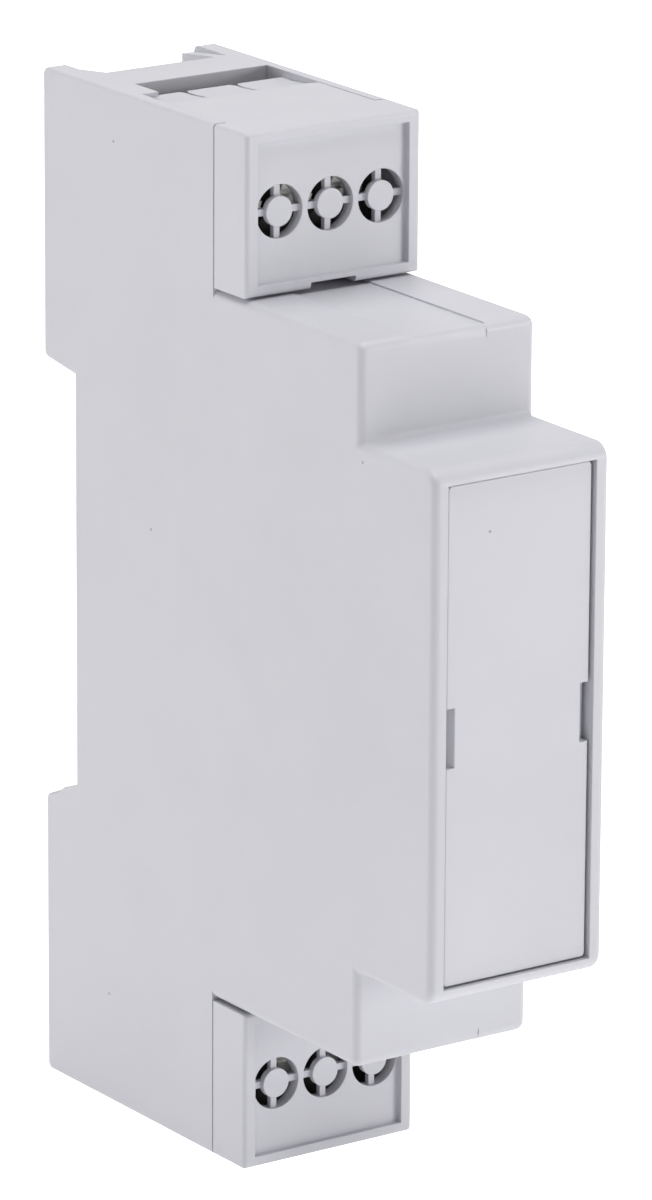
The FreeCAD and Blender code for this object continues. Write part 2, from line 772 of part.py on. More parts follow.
def make_cover(name, side):
    """Pull-off terminal cover: framed face with knock-outs, and a tongue with wire-entry fingers."""
    body = new_body("terminal_cover_" + name)
    front = -S["cover_reach"]
    back = -S["seam_reach"] - S["seam_gap"]
    cap = mirrored_rectangle(front, side, cover_foot, back, half_height)
    prism(body, "cap", "X", -half_width, half_width, [cap])
    round_edges(
        body, "front_edges", S["cover_radius"],
        {"x": half_width, "y": front},
        {"y": front, "z": half_height},
        {"y": front, "z": cover_foot},
    )
    round_edges(body, "outer_edges", S["edge_radius"], {"x": half_width, "z": half_height})

    # The tongue between the side walls, sloping down where it ends in fingers.
    tip = -S["tongue_end"]
    length = S["finger_length"]
    fall = S["finger_fall"]
    tongue = [
        (back - 1, side * tongue_bottom),
        (back - 1, side * tongue_top),
        (tip - length, side * tongue_top),
        (tip - length * 0.62, side * (tongue_top - fall * 0.78)),
        (tip - length * 0.3, side * (tongue_top - fall)),
        (tip, side * (tongue_top - fall)),
        (tip, side * (tongue_bottom - fall * 0.5)),
        (tip - length, side * tongue_bottom),
    ]
    tongue_half = inner_half - S["tongue_gap"]
    prism(body, "tongue", "X", -tongue_half, tongue_half, [tongue])

    # Room behind the face.
    inner_face = front + S["cover_front_wall"]
    room = mirrored_rectangle(inner_face, side, cover_foot + 1, back + 1, tongue_bottom)
    prism(body, "room", "X", -inner_half, inner_half, [room], cut=True)

    # Framed face.
    frame_x = half_width - S["border_side"]
    recess = mirrored_rectangle(
        -frame_x, side, cover_foot + S["border_end"], frame_x, half_height - S["border_end"])
    recess_y = front + S["face_recess"]
    prism(body, "face_recess", "Y", front - 1, recess_y, [recess], cut=True)

    # Screwdriver holes, each still closed by its knock-out on four ribs.
    centres = [(pole * S["pole_pitch"], side * S["screw_height"]) for pole in POLES.values()]
    holes = [circle(x, z, S["hole_diameter"] / 2) for x, z in centres]
    prism(body, "holes", "Y", recess_y - 0.5, inner_face + 0.5, holes, cut=True)
    reach = S["hole_diameter"] / 2 + 0.1
    half_rib = S["rib_width"] / 2
    rib_front = recess_y + S["rib_set_back"]
    for (pole, _), (x, z) in zip(POLES.items(), centres):
        level = rectangle(x - reach, z - half_rib, x + reach, z + half_rib)
        upright = rectangle(x - half_rib, z - reach, x + half_rib, z + reach)
        for direction, bar in (("level", level), ("upright", upright)):
            prism(body, "%s_%s_rib" % (pole, direction), "Y", rib_front, rib_front + S["rib_wall"], [bar])
        disc = circle(x, z, S["knockout_diameter"] / 2)
        prism(body, pole + "_knockout", "Y", recess_y, recess_y + S["knockout_wall"], [disc])

    # Pry notch in the edge that faces the shoulder.
    notch_half = S["pry_notch_width"] / 2
    notch = mirrored_rectangle(
        -notch_half, side, cover_foot - 1, notch_half, cover_foot + S["pry_notch_height"])
    prism(body, "pry_notch", "Y", front - 1, inner_face + 0.8, [notch], cut=True)

    # Grooves that part the three fingers, cut right through at their tips, whose corners are cut off.
    groove = [
        (tip - length * 0.7, side * (tongue_top - fall * 0.6)),
        (tip - length * 0.7, side * (tongue_top + 1)),
        (tip + 1, side * (tongue_top + 1)),
        (tip + 1, side * (tongue_bottom + 0.1)),
        (tip - 0.4, side * (tongue_bottom + 0.3)),
    ]
    slot_half = S["finger_slot"] / 2
    corner = S["finger_corner"]
    for index, place in enumerate((-1, 1)):
        centre = place * S["pole_pitch"] / 2
        through = mirrored_rectangle(tip - 1.1, side, tongue_bottom - 2, tip + 1, half_height)
        for tag, outline in (("finger_slot_%d", through), ("finger_groove_%d", groove)):
            prism(body, tag % index, "X", centre - slot_half, centre + slot_half, [outline], cut=True)
        corners = [(centre - corner, tip + 0.1), (centre + corner, tip + 0.1), (centre, tip - corner * 2)]
        low, high = sorted((side * (tongue_bottom - 2), side * (half_height + 1)), key=lambda s: s.value)
        prism(body, "finger_corners_%d" % index, "Z", low, high, [corners], cut=True)
    return body


# ---------------------------------------------------------------- terminals

def make_terminal_block(name, side):
    """Three-pole terminal body with a cell, wire funnel and screw well for each pole."""
    body = new_body("terminal_block_" + name)
    low = shoulder_half + S["fit_gap"]
    high = tongue_bottom - S["finger_fall"] / 2 - S["fit_gap"] * 2
    back = -S["chamber_back"] - S["fit_gap"]
    outline = mirrored_rectangle(-S["block_front"], side, low, back, high)
    prism(body, "body", "X", -loose_half, loose_half, [outline])
    cell_low = S["screw_height"] - S["cell_height"] / 2
    cell_high = S["screw_height"] + S["cell_height"] / 2
    wells = []
    bores = []
    for pole, place in POLES.items():
        x = place * S["pole_pitch"]
        cell = mirrored_rectangle(-S["cell_front"], side, cell_low, -S["cell_back"], cell_high)
        prism(body, pole + "_cell", "X", x - S["cell_width"] / 2, x + S["cell_width"] / 2, [cell], cut=True)
        wells.append(circle(x, side * S["screw_height"], S["screw_head_diameter"] / 2 + S["head_room"]))
        bores.append(circle(x, side * S["screw_height"], S["screw_diameter"] / 2 + S["screw_play"]))
    prism(body, "screw_bores", "Y", -S["block_front"] - 1, -S["cell_front"] + 1, bores, cut=True)
    prism(body, "screw_wells", "Y", -S["block_front"] - 1, -S["screw_seat"], wells, cut=True)
    funnels = []
    pins = []
    gap = S["fit_gap"] * 2
    for place in POLES.values():
        x = place * S["pole_pitch"]
        funnels.append(rectangle(x - 1.75, bar_back_y, x + 1.75, -S["cell_back"]))
        pin_reach = S["pin_width"] / 2 + gap
        pins.append(rectangle(
            pin_centre(place) - pin_reach, -S["bar_front"] - gap,
            pin_centre(place) + pin_reach, bar_back_y + gap))
    span = sorted((side * (cell_high - 0.5), side * (high + 1)), key=lambda s: s.value)
    prism(body, "wire_funnels", "Z", span[0], span[1], funnels, cut=True)
    span = sorted((side * (low - 1), side * (cell_low + 0.5)), key=lambda s: s.value)
    prism(body, "pin_slots", "Z", span[0], span[1], pins, cut=True)
    return body


def make_screw(name, pole, place, side):
    """Captive clamp screw with a combined slot and cross recess."""
    label = "terminal_screw_%s_%s" % (name, pole)
    body = new_body(label)
    head = -S["screw_seat"] - S["screw_head_wall"] - S["fit_gap"] / 2
    seat = -S["screw_seat"] - S["fit_gap"] / 2
    radius = S["screw_diameter"] / 2
    head_radius = S["screw_head_diameter"] / 2
    profile = [
        (0, head),
        (head_radius - 0.3, head),
        (head_radius, head + 0.3),
        (head_radius, seat),
        (radius, seat),
        (radius, -S["screw_tip"] - 0.4),
        (radius - 0.4, -S["screw_tip"]),
        (0, -S["screw_tip"]),
    ]
    spin(body, "turned", profile)
    slot = rectangle(-head_radius - 1, -S["screw_slot"] / 2, head_radius + 1, S["screw_slot"] / 2)
    prism(body, "slot", "Y", head - 1, head + S["screw_slot_depth"], [slot], cut=True)
    cross = rectangle(-S["screw_slot"] / 2, -head_radius * 0.62, S["screw_slot"] / 2, head_radius * 0.62)
    prism(body, "cross", "Y", head - 1, head + S["screw_slot_depth"], [cross], cut=True)
    bind_place(body, (place * S["pole_pitch"], 0, side * S["screw_height"]))
    return body


def make_clamp(name, pole, place, side):
    """Rising clamp: a square tube round the bus bar, drawn forward by its screw."""
    body = new_body("clamp_%s_%s" % (name, pole))
    x = place * S["pole_pitch"]
    z = side * S["screw_height"]
    half = S["clamp_width"] / 2
    tall = S["clamp_height"] / 2
    outer = rectangle(x - half, -S["clamp_front"], x + half, -S["clamp_back"])
    prism(body, "tube", "Z", z - tall, z + tall, [outer])
    inner_half_width = half - S["clamp_side_wall"]
    inner = rectangle(x - inner_half_width, -S["clamp_front"] + S["clamp_front_wall"],
                      x + inner_half_width, -S["clamp_back"] - S["clamp_back_wall"])
    prism(body, "mouth", "Z", z - tall - 1, z + tall + 1, [inner], cut=True)
    bore = circle(x, z, S["screw_diameter"] / 2 + S["screw_play"])
    bore_end = -S["clamp_front"] + S["clamp_front_wall"] + 0.1
    prism(body, "bore", "Y", -S["clamp_front"] - 1, bore_end, [bore], cut=True)
    return body


def make_bus_bars(name, side):
    """Three bus bars: a flat in each clamp, and a bent pin to the circuit board."""
    parts = []
    for index, (pole, place) in enumerate(POLES.items()):
        x = place * S["pole_pitch"]
        pin = size(pin_centre(place))
        row_z = S["pin_rows"] - index * S["pin_row_step"]
        half = S["bar_width"] / 2
        half_pin = S["pin_width"] / 2
        step = S["screw_height"] - S["cell_height"] / 2 + 0.2
        front = -S["bar_front"]
        tag = "%s_%s" % (name, pole)
        shapes = [
            (x - half, step, x + half, S["bar_tip"]),
            (pin - half_pin, row_z - half_pin, pin + half_pin, step + 0.5),
            (board_back_face - 0.5, row_z - half_pin, pin + half_pin, row_z + half_pin),
        ]
        pieces = []
        for number, (x_low, z_low, x_high, z_high) in enumerate(shapes):
            low, high = sorted((side * z_low, side * z_high), key=lambda s: s.value)
            bar_name = "bar_%s_%d" % (tag, number)
            pieces.append(block(bar_name, (x_low, front, low), (x_high, bar_back_y, high)))
        parts.append(joined("bar_" + tag, pieces))
    return keep(grouped("bus_bars_" + name, parts), "bus_bars_" + name)


# ---------------------------------------------------------------- circuit board and its parts

def make_board():
    """Circuit board along the left wall, stepped to follow the shoulders and the nose."""
    body = new_body("circuit_board")
    end = partition_half - S["board_end_room"]
    nose_end = nose_half - S["roof_wall"] - S["board_end_room"]
    shoulder_y = -S["shoulder_reach"] + S["roof_wall"] + S["board_end_room"]
    nose_y = ledge_y + S["ledge_wall"] + S["panel_leg_reach"]
    outline = [
        (-S["board_back"], end),
        (shoulder_y, end),
        (shoulder_y, nose_end),
        (nose_y, nose_end),
        (nose_y, -nose_end),
        (shoulder_y, -nose_end),
        (shoulder_y, -end),
        (-S["board_back"], -end),
    ]
    prism(body, "laminate", "X", board_back_face, board_face, [outline])
    holes = []
    for side in SIDES.values():
        for row in range(len(POLES)):
            level = S["pin_rows"] - row * S["pin_row_step"]
            holes.append(circle((bar_back_y - S["bar_front"]) / 2, side * level, S["board_hole"] / 2))
    for y, z in board_lead_places():
        holes.append(circle(y, z, 0.45))
    for post in (open_post, closed_post):
        holes.append(rectangle(relay_mid - 1.3, post - 0.1, relay_mid + 1.3, post + S["post_wall"] + 0.1))
    prism(body, "holes", "X", board_back_face - 1, board_face + 1, holes, cut=True)
    return body


LEAD = 0.3
relay_mid = -S["relay_back"] - S["relay_width"] / 2
relay_floor = board_face + 0.3
relay_plate = relay_floor + 1.2
contact_x = relay_plate + 1.1
pole_face = size(-2.6)
arm_front = pole_face - S["pole_gap"]
arm_back = arm_front - S["armature_wall"]
carrier_back = arm_back - S["carrier_wall"]
blade_front = carrier_back - 0.02
blade_back = blade_front - S["blade_wall"]
open_face = blade_front + S["button_wall"] + S["contact_swing"]
open_post = open_face + S["button_wall"]
closed_face = blade_back - S["button_wall"] - 0.04
closed_post = closed_face - S["button_wall"] - S["post_wall"]


def relay_lead_places():
    """Board places, as (y, z), of the relay's two coil leads and its common lead."""
    coil_z = S["relay_top"] - 1.6
    return [(relay_mid - 3.6, coil_z), (relay_mid + 3.6, coil_z), (relay_mid - 3.6, closed_post - 1.2)]


def board_lead_places():
    """Every lead hole in the circuit board, as (y, z)."""
    places = relay_lead_places()
    for y, z, pitch, direction in LEAD_PAIRS.values():
        for sign in (-0.5, 0.5):
            places.append((y + sign * pitch, z) if direction == "y" else (y, z + sign * pitch))
    places += [(-24.5 + dy, -12.5 + dz) for dy in (-2.5, 2.5) for dz in (-2.5, 2.5)]
    places += [(-20.0 + dy, -21.5) for dy in (-1.27, 0, 1.27)]
    return places


# y, z, lead pitch and direction of the two-lead parts
LEAD_PAIRS = {
    "film_capacitor": (-24.0, 14.5, 15.0, "z"),
    "smoothing_capacitor": (-35.0, -10.0, 5.0, "z"),
    "varistor": (-34.5, 14.5, 5.0, "z"),
    "resistor_upper": (-45.6, 9.0, 12.0, "z"),
    "resistor_lower": (-45.6, -9.0, 12.0, "z"),
    "flyback_diode": (-17.5, -3.0, 10.0, "z"),
}


def leads(name, up_to, bent=0.0):
    """The two straight leads of a part, from under the board up to a height over it."""
    y, z, pitch, _ = LEAD_PAIRS[name]
    start = board_back_face - 0.6
    found = []
    for index, sign in enumerate((-0.5, 0.5)):
        place = (start, y, z + sign * pitch)
        found.append(rod("%s_lead_%d" % (name, index), "X", place, board_face + up_to - start, LEAD))
    if bent:
        low = z - 0.5 * pitch
        found.append(rod(name + "_axle", "Z", (board_face + bent, y, low), pitch, LEAD))
    return found


def rounded_can(name, axis, start, length, radius, fillet):
    """Cylinder with both rims rounded."""
    base = rod(name + "_can", axis, start, length, radius)
    doc.recompute()
    item = doc.addObject("Part::Fillet", name + "_round")
    item.Base = base
    rims = [i for i, edge in enumerate(base.Shape.Edges, start=1) if edge.Closed]
    item.Edges = [(i, fillet, fillet) for i in rims]
    return item


def make_board_parts():
    """Power supply and drive parts that stand on the board's right face."""
    y, z, _, _ = LEAD_PAIRS["film_capacitor"]
    box = block("film_box", (board_face + 0.3, y - 3.8, z - 9.0), (board_face + 11.2, y + 3.8, z + 9.0))
    keep(joined("film_capacitor", [box] + leads("film_capacitor", 1.0)), "film_capacitor")

    y, z, _, _ = LEAD_PAIRS["smoothing_capacitor"]
    can = rounded_can("smoothing", "X", (board_face + 0.4, y, z), 11.4, 5.0, 0.5)
    keep(joined("smoothing_capacitor", [can] + leads("smoothing_capacitor", 1.0)), "smoothing_capacitor")

    y, z, _, _ = LEAD_PAIRS["varistor"]
    disc = rounded_can("varistor", "Y", (board_face + 6.2, y - 1.9, z), 3.8, 4.6, 1.1)
    keep(joined("varistor", [disc] + leads("varistor", 4.6)), "varistor")

    resistors = []
    for name in ("resistor_upper", "resistor_lower"):
        y, z, _, _ = LEAD_PAIRS[name]
        tube = rounded_can(name, "Z", (board_face + 2.4, y, z - 4.5), 9.0, 1.6, 0.6)
        resistors.append(joined(name, [tube] + leads(name, 2.4, bent=2.4)))
    keep(grouped("series_resistors", resistors), "series_resistors")

    y, z, _, _ = LEAD_PAIRS["flyback_diode"]
    barrel = rod("diode_barrel", "Z", (board_face + 1.6, y, z - 2.3), 4.6, 1.3)
    keep(joined("flyback_diode", [barrel] + leads("flyback_diode", 1.6, bent=1.6)), "flyback_diode")

    bridge = [block("bridge_box", (board_face + 0.4, -28.6, -16.8), (board_face + 3.0, -20.4, -8.2))]
    for index, (dy, dz) in enumerate([(a, b) for a in (-2.5, 2.5) for b in (-2.5, 2.5)]):
        place = (board_back_face - 0.6, -24.5 + dy, -12.5 + dz)
        bridge.append(rod("bridge_lead_%d" % index, "X", place, S["board_wall"] + 1.4, LEAD))
    keep(joined("bridge_rectifier", bridge), "bridge_rectifier")

    can = rod("transistor_can", "X", (board_face + 3.0, -20.0, -21.5), 4.6, 2.3)
    flat = block("transistor_flat", (board_face + 2.0, -23.0, -25.5), (board_face + 8.6, -17.0, -22.9))
    pieces = [less("transistor_body", can, flat)]
    for index, dy in enumerate((-1.27, 0, 1.27)):
        place = (board_back_face - 0.6, -20.0 + dy, -21.5)
        pieces.append(rod("transistor_lead_%d" % index, "X", place, S["board_wall"] + 4.0, 0.25))
    keep(joined("driver_transistor", pieces), "driver_transistor")


def make_relay():
    """Changeover relay: base, case, coil on its bobbin, core, yoke, armature and contacts."""
    half_y = S["relay_width"] / 2
    top_x = inner_half - S["relay_room"]
    wall = S["relay_wall"]
    low_z = -S["relay_bottom"]
    high_z = S["relay_top"]
    gap = S["fit_gap"]
    inner_y = half_y - wall - gap

    # Base plate with lead holes.
    body = new_body("relay_base")
    outline = rectangle(relay_mid - inner_y, low_z + wall + gap, relay_mid + inner_y, high_z - wall - gap)
    prism(body, "plate", "X", relay_floor, relay_plate, [outline])
    holes = [circle(y, z, LEAD + 0.08) for y, z in relay_lead_places()]
    for post in (open_post, closed_post):
        holes.append(rectangle(relay_mid - 1.3, post - 0.05, relay_mid + 1.3, post + S["post_wall"] + 0.05))
    prism(body, "lead_holes", "X", relay_floor - 1, relay_plate + 1, holes, cut=True)

    # Case over the base.
    body = new_body("relay_case")
    outline = rectangle(relay_mid - half_y, low_z, relay_mid + half_y, high_z)
    prism(body, "box", "X", relay_floor, top_x, [outline])
    round_edges(body, "rim", 0.5, {"x": top_x})
    outline = rectangle(relay_mid - half_y + wall, low_z + wall, relay_mid + half_y - wall, high_z - wall)
    prism(body, "inside", "X", relay_floor - 1, top_x - wall, [outline], cut=True)

    # Bobbin: a tube with two square flanges, round the core.
    coil_x = top_x - S["coil_depth"]
    coil_low = pole_face + 0.9
    coil_high = high_z - wall - 2.9
    flange = S["bobbin_flange"]
    flange_half = S["coil_radius"] + S["bobbin_rim"]
    tube_radius = S["core_radius"] + S["bobbin_tube"]
    body = new_body("relay_bobbin")
    for index, (start, end) in enumerate([(coil_low, coil_low + flange), (coil_high - flange, coil_high)]):
        outline = rectangle(coil_x - flange_half, relay_mid - flange_half, coil_x + flange_half,
                            relay_mid + flange_half)
        if index == 0:
            prism(body, "flange_0", "Z", start, end, [outline])
            prism(body, "tube", "Z", start, coil_high, [circle(coil_x, relay_mid, tube_radius)])
        else:
            prism(body, "flange_1", "Z", start, end, [outline])
    prism(body, "core_hole", "Z", coil_low - 1, coil_high + 1,
          [circle(coil_x, relay_mid, S["core_radius"] + 0.03)], cut=True)

    # Copper winding.
    body = new_body("relay_coil")
    rings = [circle(coil_x, relay_mid, S["coil_radius"])]
    prism(body, "winding", "Z", coil_low + flange + 0.02, coil_high - flange - 0.02, rings)
    bore = circle(coil_x, relay_mid, tube_radius + 0.02)
    prism(body, "winding_bore", "Z", coil_low, coil_high, [bore], cut=True)

    # Core with its pole face.
    body = new_body("relay_core")
    yoke_back = coil_high + 0.1
    stem = circle(coil_x, relay_mid, S["core_radius"])
    pole = circle(coil_x, relay_mid, S["core_radius"] + S["pole_rim"])
    prism(body, "stem", "Z", pole_face + S["pole_wall"] / 2, yoke_back + S["yoke_wall"] - 0.1, [stem])
    prism(body, "pole", "Z", pole_face, pole_face + S["pole_wall"], [pole])

    # Yoke: an angle over the coil, from the core's back end to the armature.
    body = new_body("relay_yoke")
    yoke_half = S["yoke_width"] / 2
    yoke_low = coil_x + flange_half + 0.15
    yoke_top = yoke_low + S["yoke_wall"]
    yoke_front = pole_face - 0.35
    angle = [
        (yoke_low, yoke_front),
        (yoke_top, yoke_front),
        (yoke_top, yoke_back + S["yoke_wall"]),
        (coil_x - 2.6, yoke_back + S["yoke_wall"]),
        (coil_x - 2.6, yoke_back),
        (yoke_low, yoke_back),
    ]
    prism(body, "angle", "Y", relay_mid - yoke_half, relay_mid + yoke_half, [[(x, z) for x, z in angle]])
    seat = circle(coil_x, relay_mid, S["core_radius"] + 0.02)
    prism(body, "core_seat", "Z", yoke_back - 0.5, yoke_back + 2, [seat], cut=True)

    # Armature: a plate that hangs from the yoke's front edge and swings to the pole face.
    body = new_body("relay_armature")
    plate_low = relay_mid - S["armature_width"] / 2
    plate_high = relay_mid + S["armature_width"] / 2
    outline = rectangle(relay_plate + 2.4, plate_low, yoke_top, plate_high)
    prism(body, "plate", "Z", arm_back, arm_front, [outline])
    pivot = S["pivot_radius"]
    prism(body, "pivot_edge", "Y", plate_low, plate_high, [circle(yoke_top - pivot, arm_front, pivot)])
    prism(body, "carrier", "Z", carrier_back, arm_back + 0.2,
          [rectangle(coil_x - 1.4, relay_mid - 2.0, coil_x + 1.6, relay_mid + 2.0)])

    # Spring blade with the moving contact, fixed to the armature's carrier.
    blade = block("blade_strip", (relay_plate + 0.35, relay_mid - 1.3, blade_back),
                  (coil_x + 1.8, relay_mid + 1.3, blade_front))
    button = rod("blade_button", "Z", (contact_x, relay_mid, blade_back - S["button_wall"]),
                 S["blade_wall"] + 2 * S["button_wall"], 0.75)
    keep(joined("contact_blade", [blade, button]), "contact_blade")

    # Fixed contacts on their posts.
    posts = (
        ("open", open_post, open_face),
        ("closed", closed_post, closed_post + S["post_wall"]),
    )
    for name, post, button_low in posts:
        button = rod(name + "_button", "Z", (contact_x, relay_mid, button_low), S["button_wall"], 0.75)
        stem = block(name + "_post", (board_back_face - 0.6, relay_mid - 1.2, post),
                     (contact_x + 0.9, relay_mid + 1.2, post + S["post_wall"]))
        keep(joined("contact_normally_" + name, [button, stem]), "contact_normally_" + name)

    # Leaf spring that presses the armature's heel against the yoke.
    leaf_low = yoke_top + 0.05
    leaf_high = leaf_low + S["leaf_wall"]
    leaf_left = relay_mid - S["leaf_width"] / 2
    leaf_right = relay_mid + S["leaf_width"] / 2
    leaf = block("leaf_flat", (leaf_low, leaf_left, yoke_front + 0.4), (leaf_high, leaf_right, 4.0))
    tail = block("leaf_tail", (leaf_low, leaf_left, arm_back + 0.1),
                 (leaf_high, leaf_right, yoke_front + 0.5))
    keep(joined("armature_spring", [leaf, tail]), "armature_spring")

    # Coil leads and the common lead.
    pins = []
    for index, (y, z) in enumerate(relay_lead_places()):
        start = board_back_face - 0.6
        pins.append(rod("relay_pin_%d" % index, "X", (start, y, z), relay_plate + 0.9 - start, LEAD))
    keep(grouped("relay_pins", pins), "relay_pins")


# ---------------------------------------------------------------- build, check and write

make_housing()
make_rear_base()
make_latch()
make_latch_spring()
make_front_panel()
for side_name, side_sign in SIDES.items():
    make_cover(side_name, side_sign)
    make_terminal_block(side_name, side_sign)
    for pole_name, pole_place in POLES.items():
        make_screw(side_name, pole_name, pole_place, side_sign)
        make_clamp(side_name, pole_name, pole_place, side_sign)
    make_bus_bars(side_name, side_sign)
make_board()
make_board_parts()
make_relay()
doc.recompute()

for item in doc.Objects:
    if "Invalid" in item.State or "Error" in item.State:
        raise RuntimeError("%s did not compute" % item.Label)
    if item.TypeId in ("PartDesign::Pocket", "PartDesign::Pad") and item.BaseFeature:
        change = item.Shape.Volume - item.BaseFeature.Shape.Volume
        if (change if item.TypeId == "PartDesign::Pad" else -change) < 1e-5:
            raise RuntimeError("%s changed nothing" % item.Label)

os.makedirs("parts", exist_ok=True)
for item in nodes:
    shape = item.Shape
    if shape.isNull() or not shape.isValid() or not shape.Solids:
        raise RuntimeError("%s has no sound solid" % item.Label)
    shape.exportStep(os.path.join("parts", item.Label + ".step"))
    print("%-28s %2d solids %9.1f mm3" % (item.Label, len(shape.Solids), shape.Volume))
print(len(nodes), "pieces written")
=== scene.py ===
import json
import logging
import math
from dataclasses import dataclass, field
from enum import Enum

import bpy
import numpy as np
from mathutils import Matrix, Vector


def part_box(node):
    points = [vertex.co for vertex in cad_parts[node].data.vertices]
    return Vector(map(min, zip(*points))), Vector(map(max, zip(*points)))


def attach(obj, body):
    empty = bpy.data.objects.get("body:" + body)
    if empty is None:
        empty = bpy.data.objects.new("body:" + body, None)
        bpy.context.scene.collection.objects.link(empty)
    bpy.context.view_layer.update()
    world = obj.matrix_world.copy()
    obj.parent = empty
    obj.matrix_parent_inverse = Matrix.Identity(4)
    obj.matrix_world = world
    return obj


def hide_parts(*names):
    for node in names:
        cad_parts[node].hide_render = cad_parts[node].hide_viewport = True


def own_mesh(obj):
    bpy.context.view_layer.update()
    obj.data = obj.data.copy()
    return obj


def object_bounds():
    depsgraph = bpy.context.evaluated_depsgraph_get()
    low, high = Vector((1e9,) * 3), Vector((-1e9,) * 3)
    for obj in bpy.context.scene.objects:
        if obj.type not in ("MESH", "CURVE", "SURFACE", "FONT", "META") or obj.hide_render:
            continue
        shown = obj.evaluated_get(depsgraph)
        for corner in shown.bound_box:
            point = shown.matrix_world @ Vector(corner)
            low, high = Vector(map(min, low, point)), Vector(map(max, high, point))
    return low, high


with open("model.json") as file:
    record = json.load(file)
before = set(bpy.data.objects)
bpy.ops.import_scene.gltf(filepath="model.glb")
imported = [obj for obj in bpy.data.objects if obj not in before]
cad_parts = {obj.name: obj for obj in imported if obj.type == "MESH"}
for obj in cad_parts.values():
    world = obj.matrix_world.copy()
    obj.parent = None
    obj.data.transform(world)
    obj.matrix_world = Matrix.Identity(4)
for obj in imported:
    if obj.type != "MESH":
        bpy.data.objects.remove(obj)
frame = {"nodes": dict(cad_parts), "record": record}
CAD_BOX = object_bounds()

MM = 0.001
DIPPED_GRAIN = 5.0  # a dipped coat lies in waves this many times as wide and high as moulded grain
BRUSH_STRETCH = 0.06  # a drawn line is this share as lively along its run as across it
BRUSH_SCALE = 14000.0  # drawn lines per metre
MIX_SHARE, MIX_FIRST, MIX_SECOND, MIX_RESULT = 0, 6, 7, 2  # sockets of a Mix node set to colour
Colour = tuple[float, float, float]
Point = tuple[float, float, float]
WHITE: Colour = (1.0, 1.0, 1.0)
log = logging.getLogger("relay_scene")


# ---------------------------------------------------------------- node helpers

class Pattern(Enum):
    """How a finish is built up under its colour."""

    MOULDED = "moulded"
    PLATED = "plated"
    DIPPED = "dipped"


class Graph:
    """A small wrapper round a material's node tree."""

    def __init__(self, name: str) -> None:
        """Start an empty material.

        Args:
            name: the material's name.
        """
        self.material = bpy.data.materials.new(name)
        self.material.use_nodes = True
        self.tree = self.material.node_tree
        self.tree.nodes.clear()
        self.output = self.node("ShaderNodeOutputMaterial")
        self.shader = self.node("ShaderNodeBsdfPrincipled")
        self.link(self.shader, "BSDF", self.output, "Surface")
        self.place = self.node("ShaderNodeTexCoord")

    def node(self, kind: str, **settings: object) -> bpy.types.Node:
        """Add a node and set its properties.

        Args:
            kind: the node's type name.
            settings: attributes to set on it.

        Returns:
            The new node.
        """
        made = self.tree.nodes.new(kind)
        for key, value in settings.items():
            setattr(made, key, value)
        return made

    def link(self, source: bpy.types.Node, out: str | int, target: bpy.types.Node, into: str | int) -> None:
        """Join an output of one node to an input of another."""
        self.tree.links.new(source.outputs[out], target.inputs[into])

    def noise(self, scale: float, detail: float = 3.0, rough: float = 0.5) -> bpy.types.Node:
        """Noise on object coordinates.

        Args:
            scale: waves per metre.
            detail: octaves.
            rough: how strong the finer octaves are.

        Returns:
            The noise node.
        """
        made = self.node("ShaderNodeTexNoise")
        made.inputs["Scale"].default_value = scale
        made.inputs["Detail"].default_value = detail
        made.inputs["Roughness"].default_value = rough
        self.link(self.place, "Object", made, "Vector")
        return made

    def spread(self, source: bpy.types.Node, out: str, low: float, high: float,
               start: float = 0.3, end: float = 0.7) -> bpy.types.Node:
        """Carry a value from start..end over to low..high.

        Args:
            source: node that gives the value.
            out: its output.
            low: result at start.
            high: result at end.
            start: value that gives low.
            end: value that gives high.

        Returns:
            The map range node.
        """
        made = self.node("ShaderNodeMapRange")
        made.inputs["From Min"].default_value = start
        made.inputs["From Max"].default_value = end
        made.inputs["To Min"].default_value = low
        made.inputs["To Max"].default_value = high
        self.link(source, out, made, "Value")
        return made

    def blend(self, share: tuple[bpy.types.Node, str], first: Colour, second: Colour) -> bpy.types.Node:
        """Mix two colours by a share.

        Args:
            share: node and output that give the share of the second colour.
            first: colour at 0.
            second: colour at 1.

        Returns:
            The mix node, whose output MIX_RESULT is the colour.
        """
        made = self.node("ShaderNodeMix", data_type="RGBA")
        made.inputs[MIX_FIRST].default_value = (*first, 1.0)
        made.inputs[MIX_SECOND].default_value = (*second, 1.0)
        self.link(share[0], share[1], made, MIX_SHARE)
        return made


def shade(colour: Colour, gain: float) -> Colour:
    """The colour made lighter or darker by a gain."""
    return tuple(min(1.0, max(0.0, channel * gain)) for channel in colour)


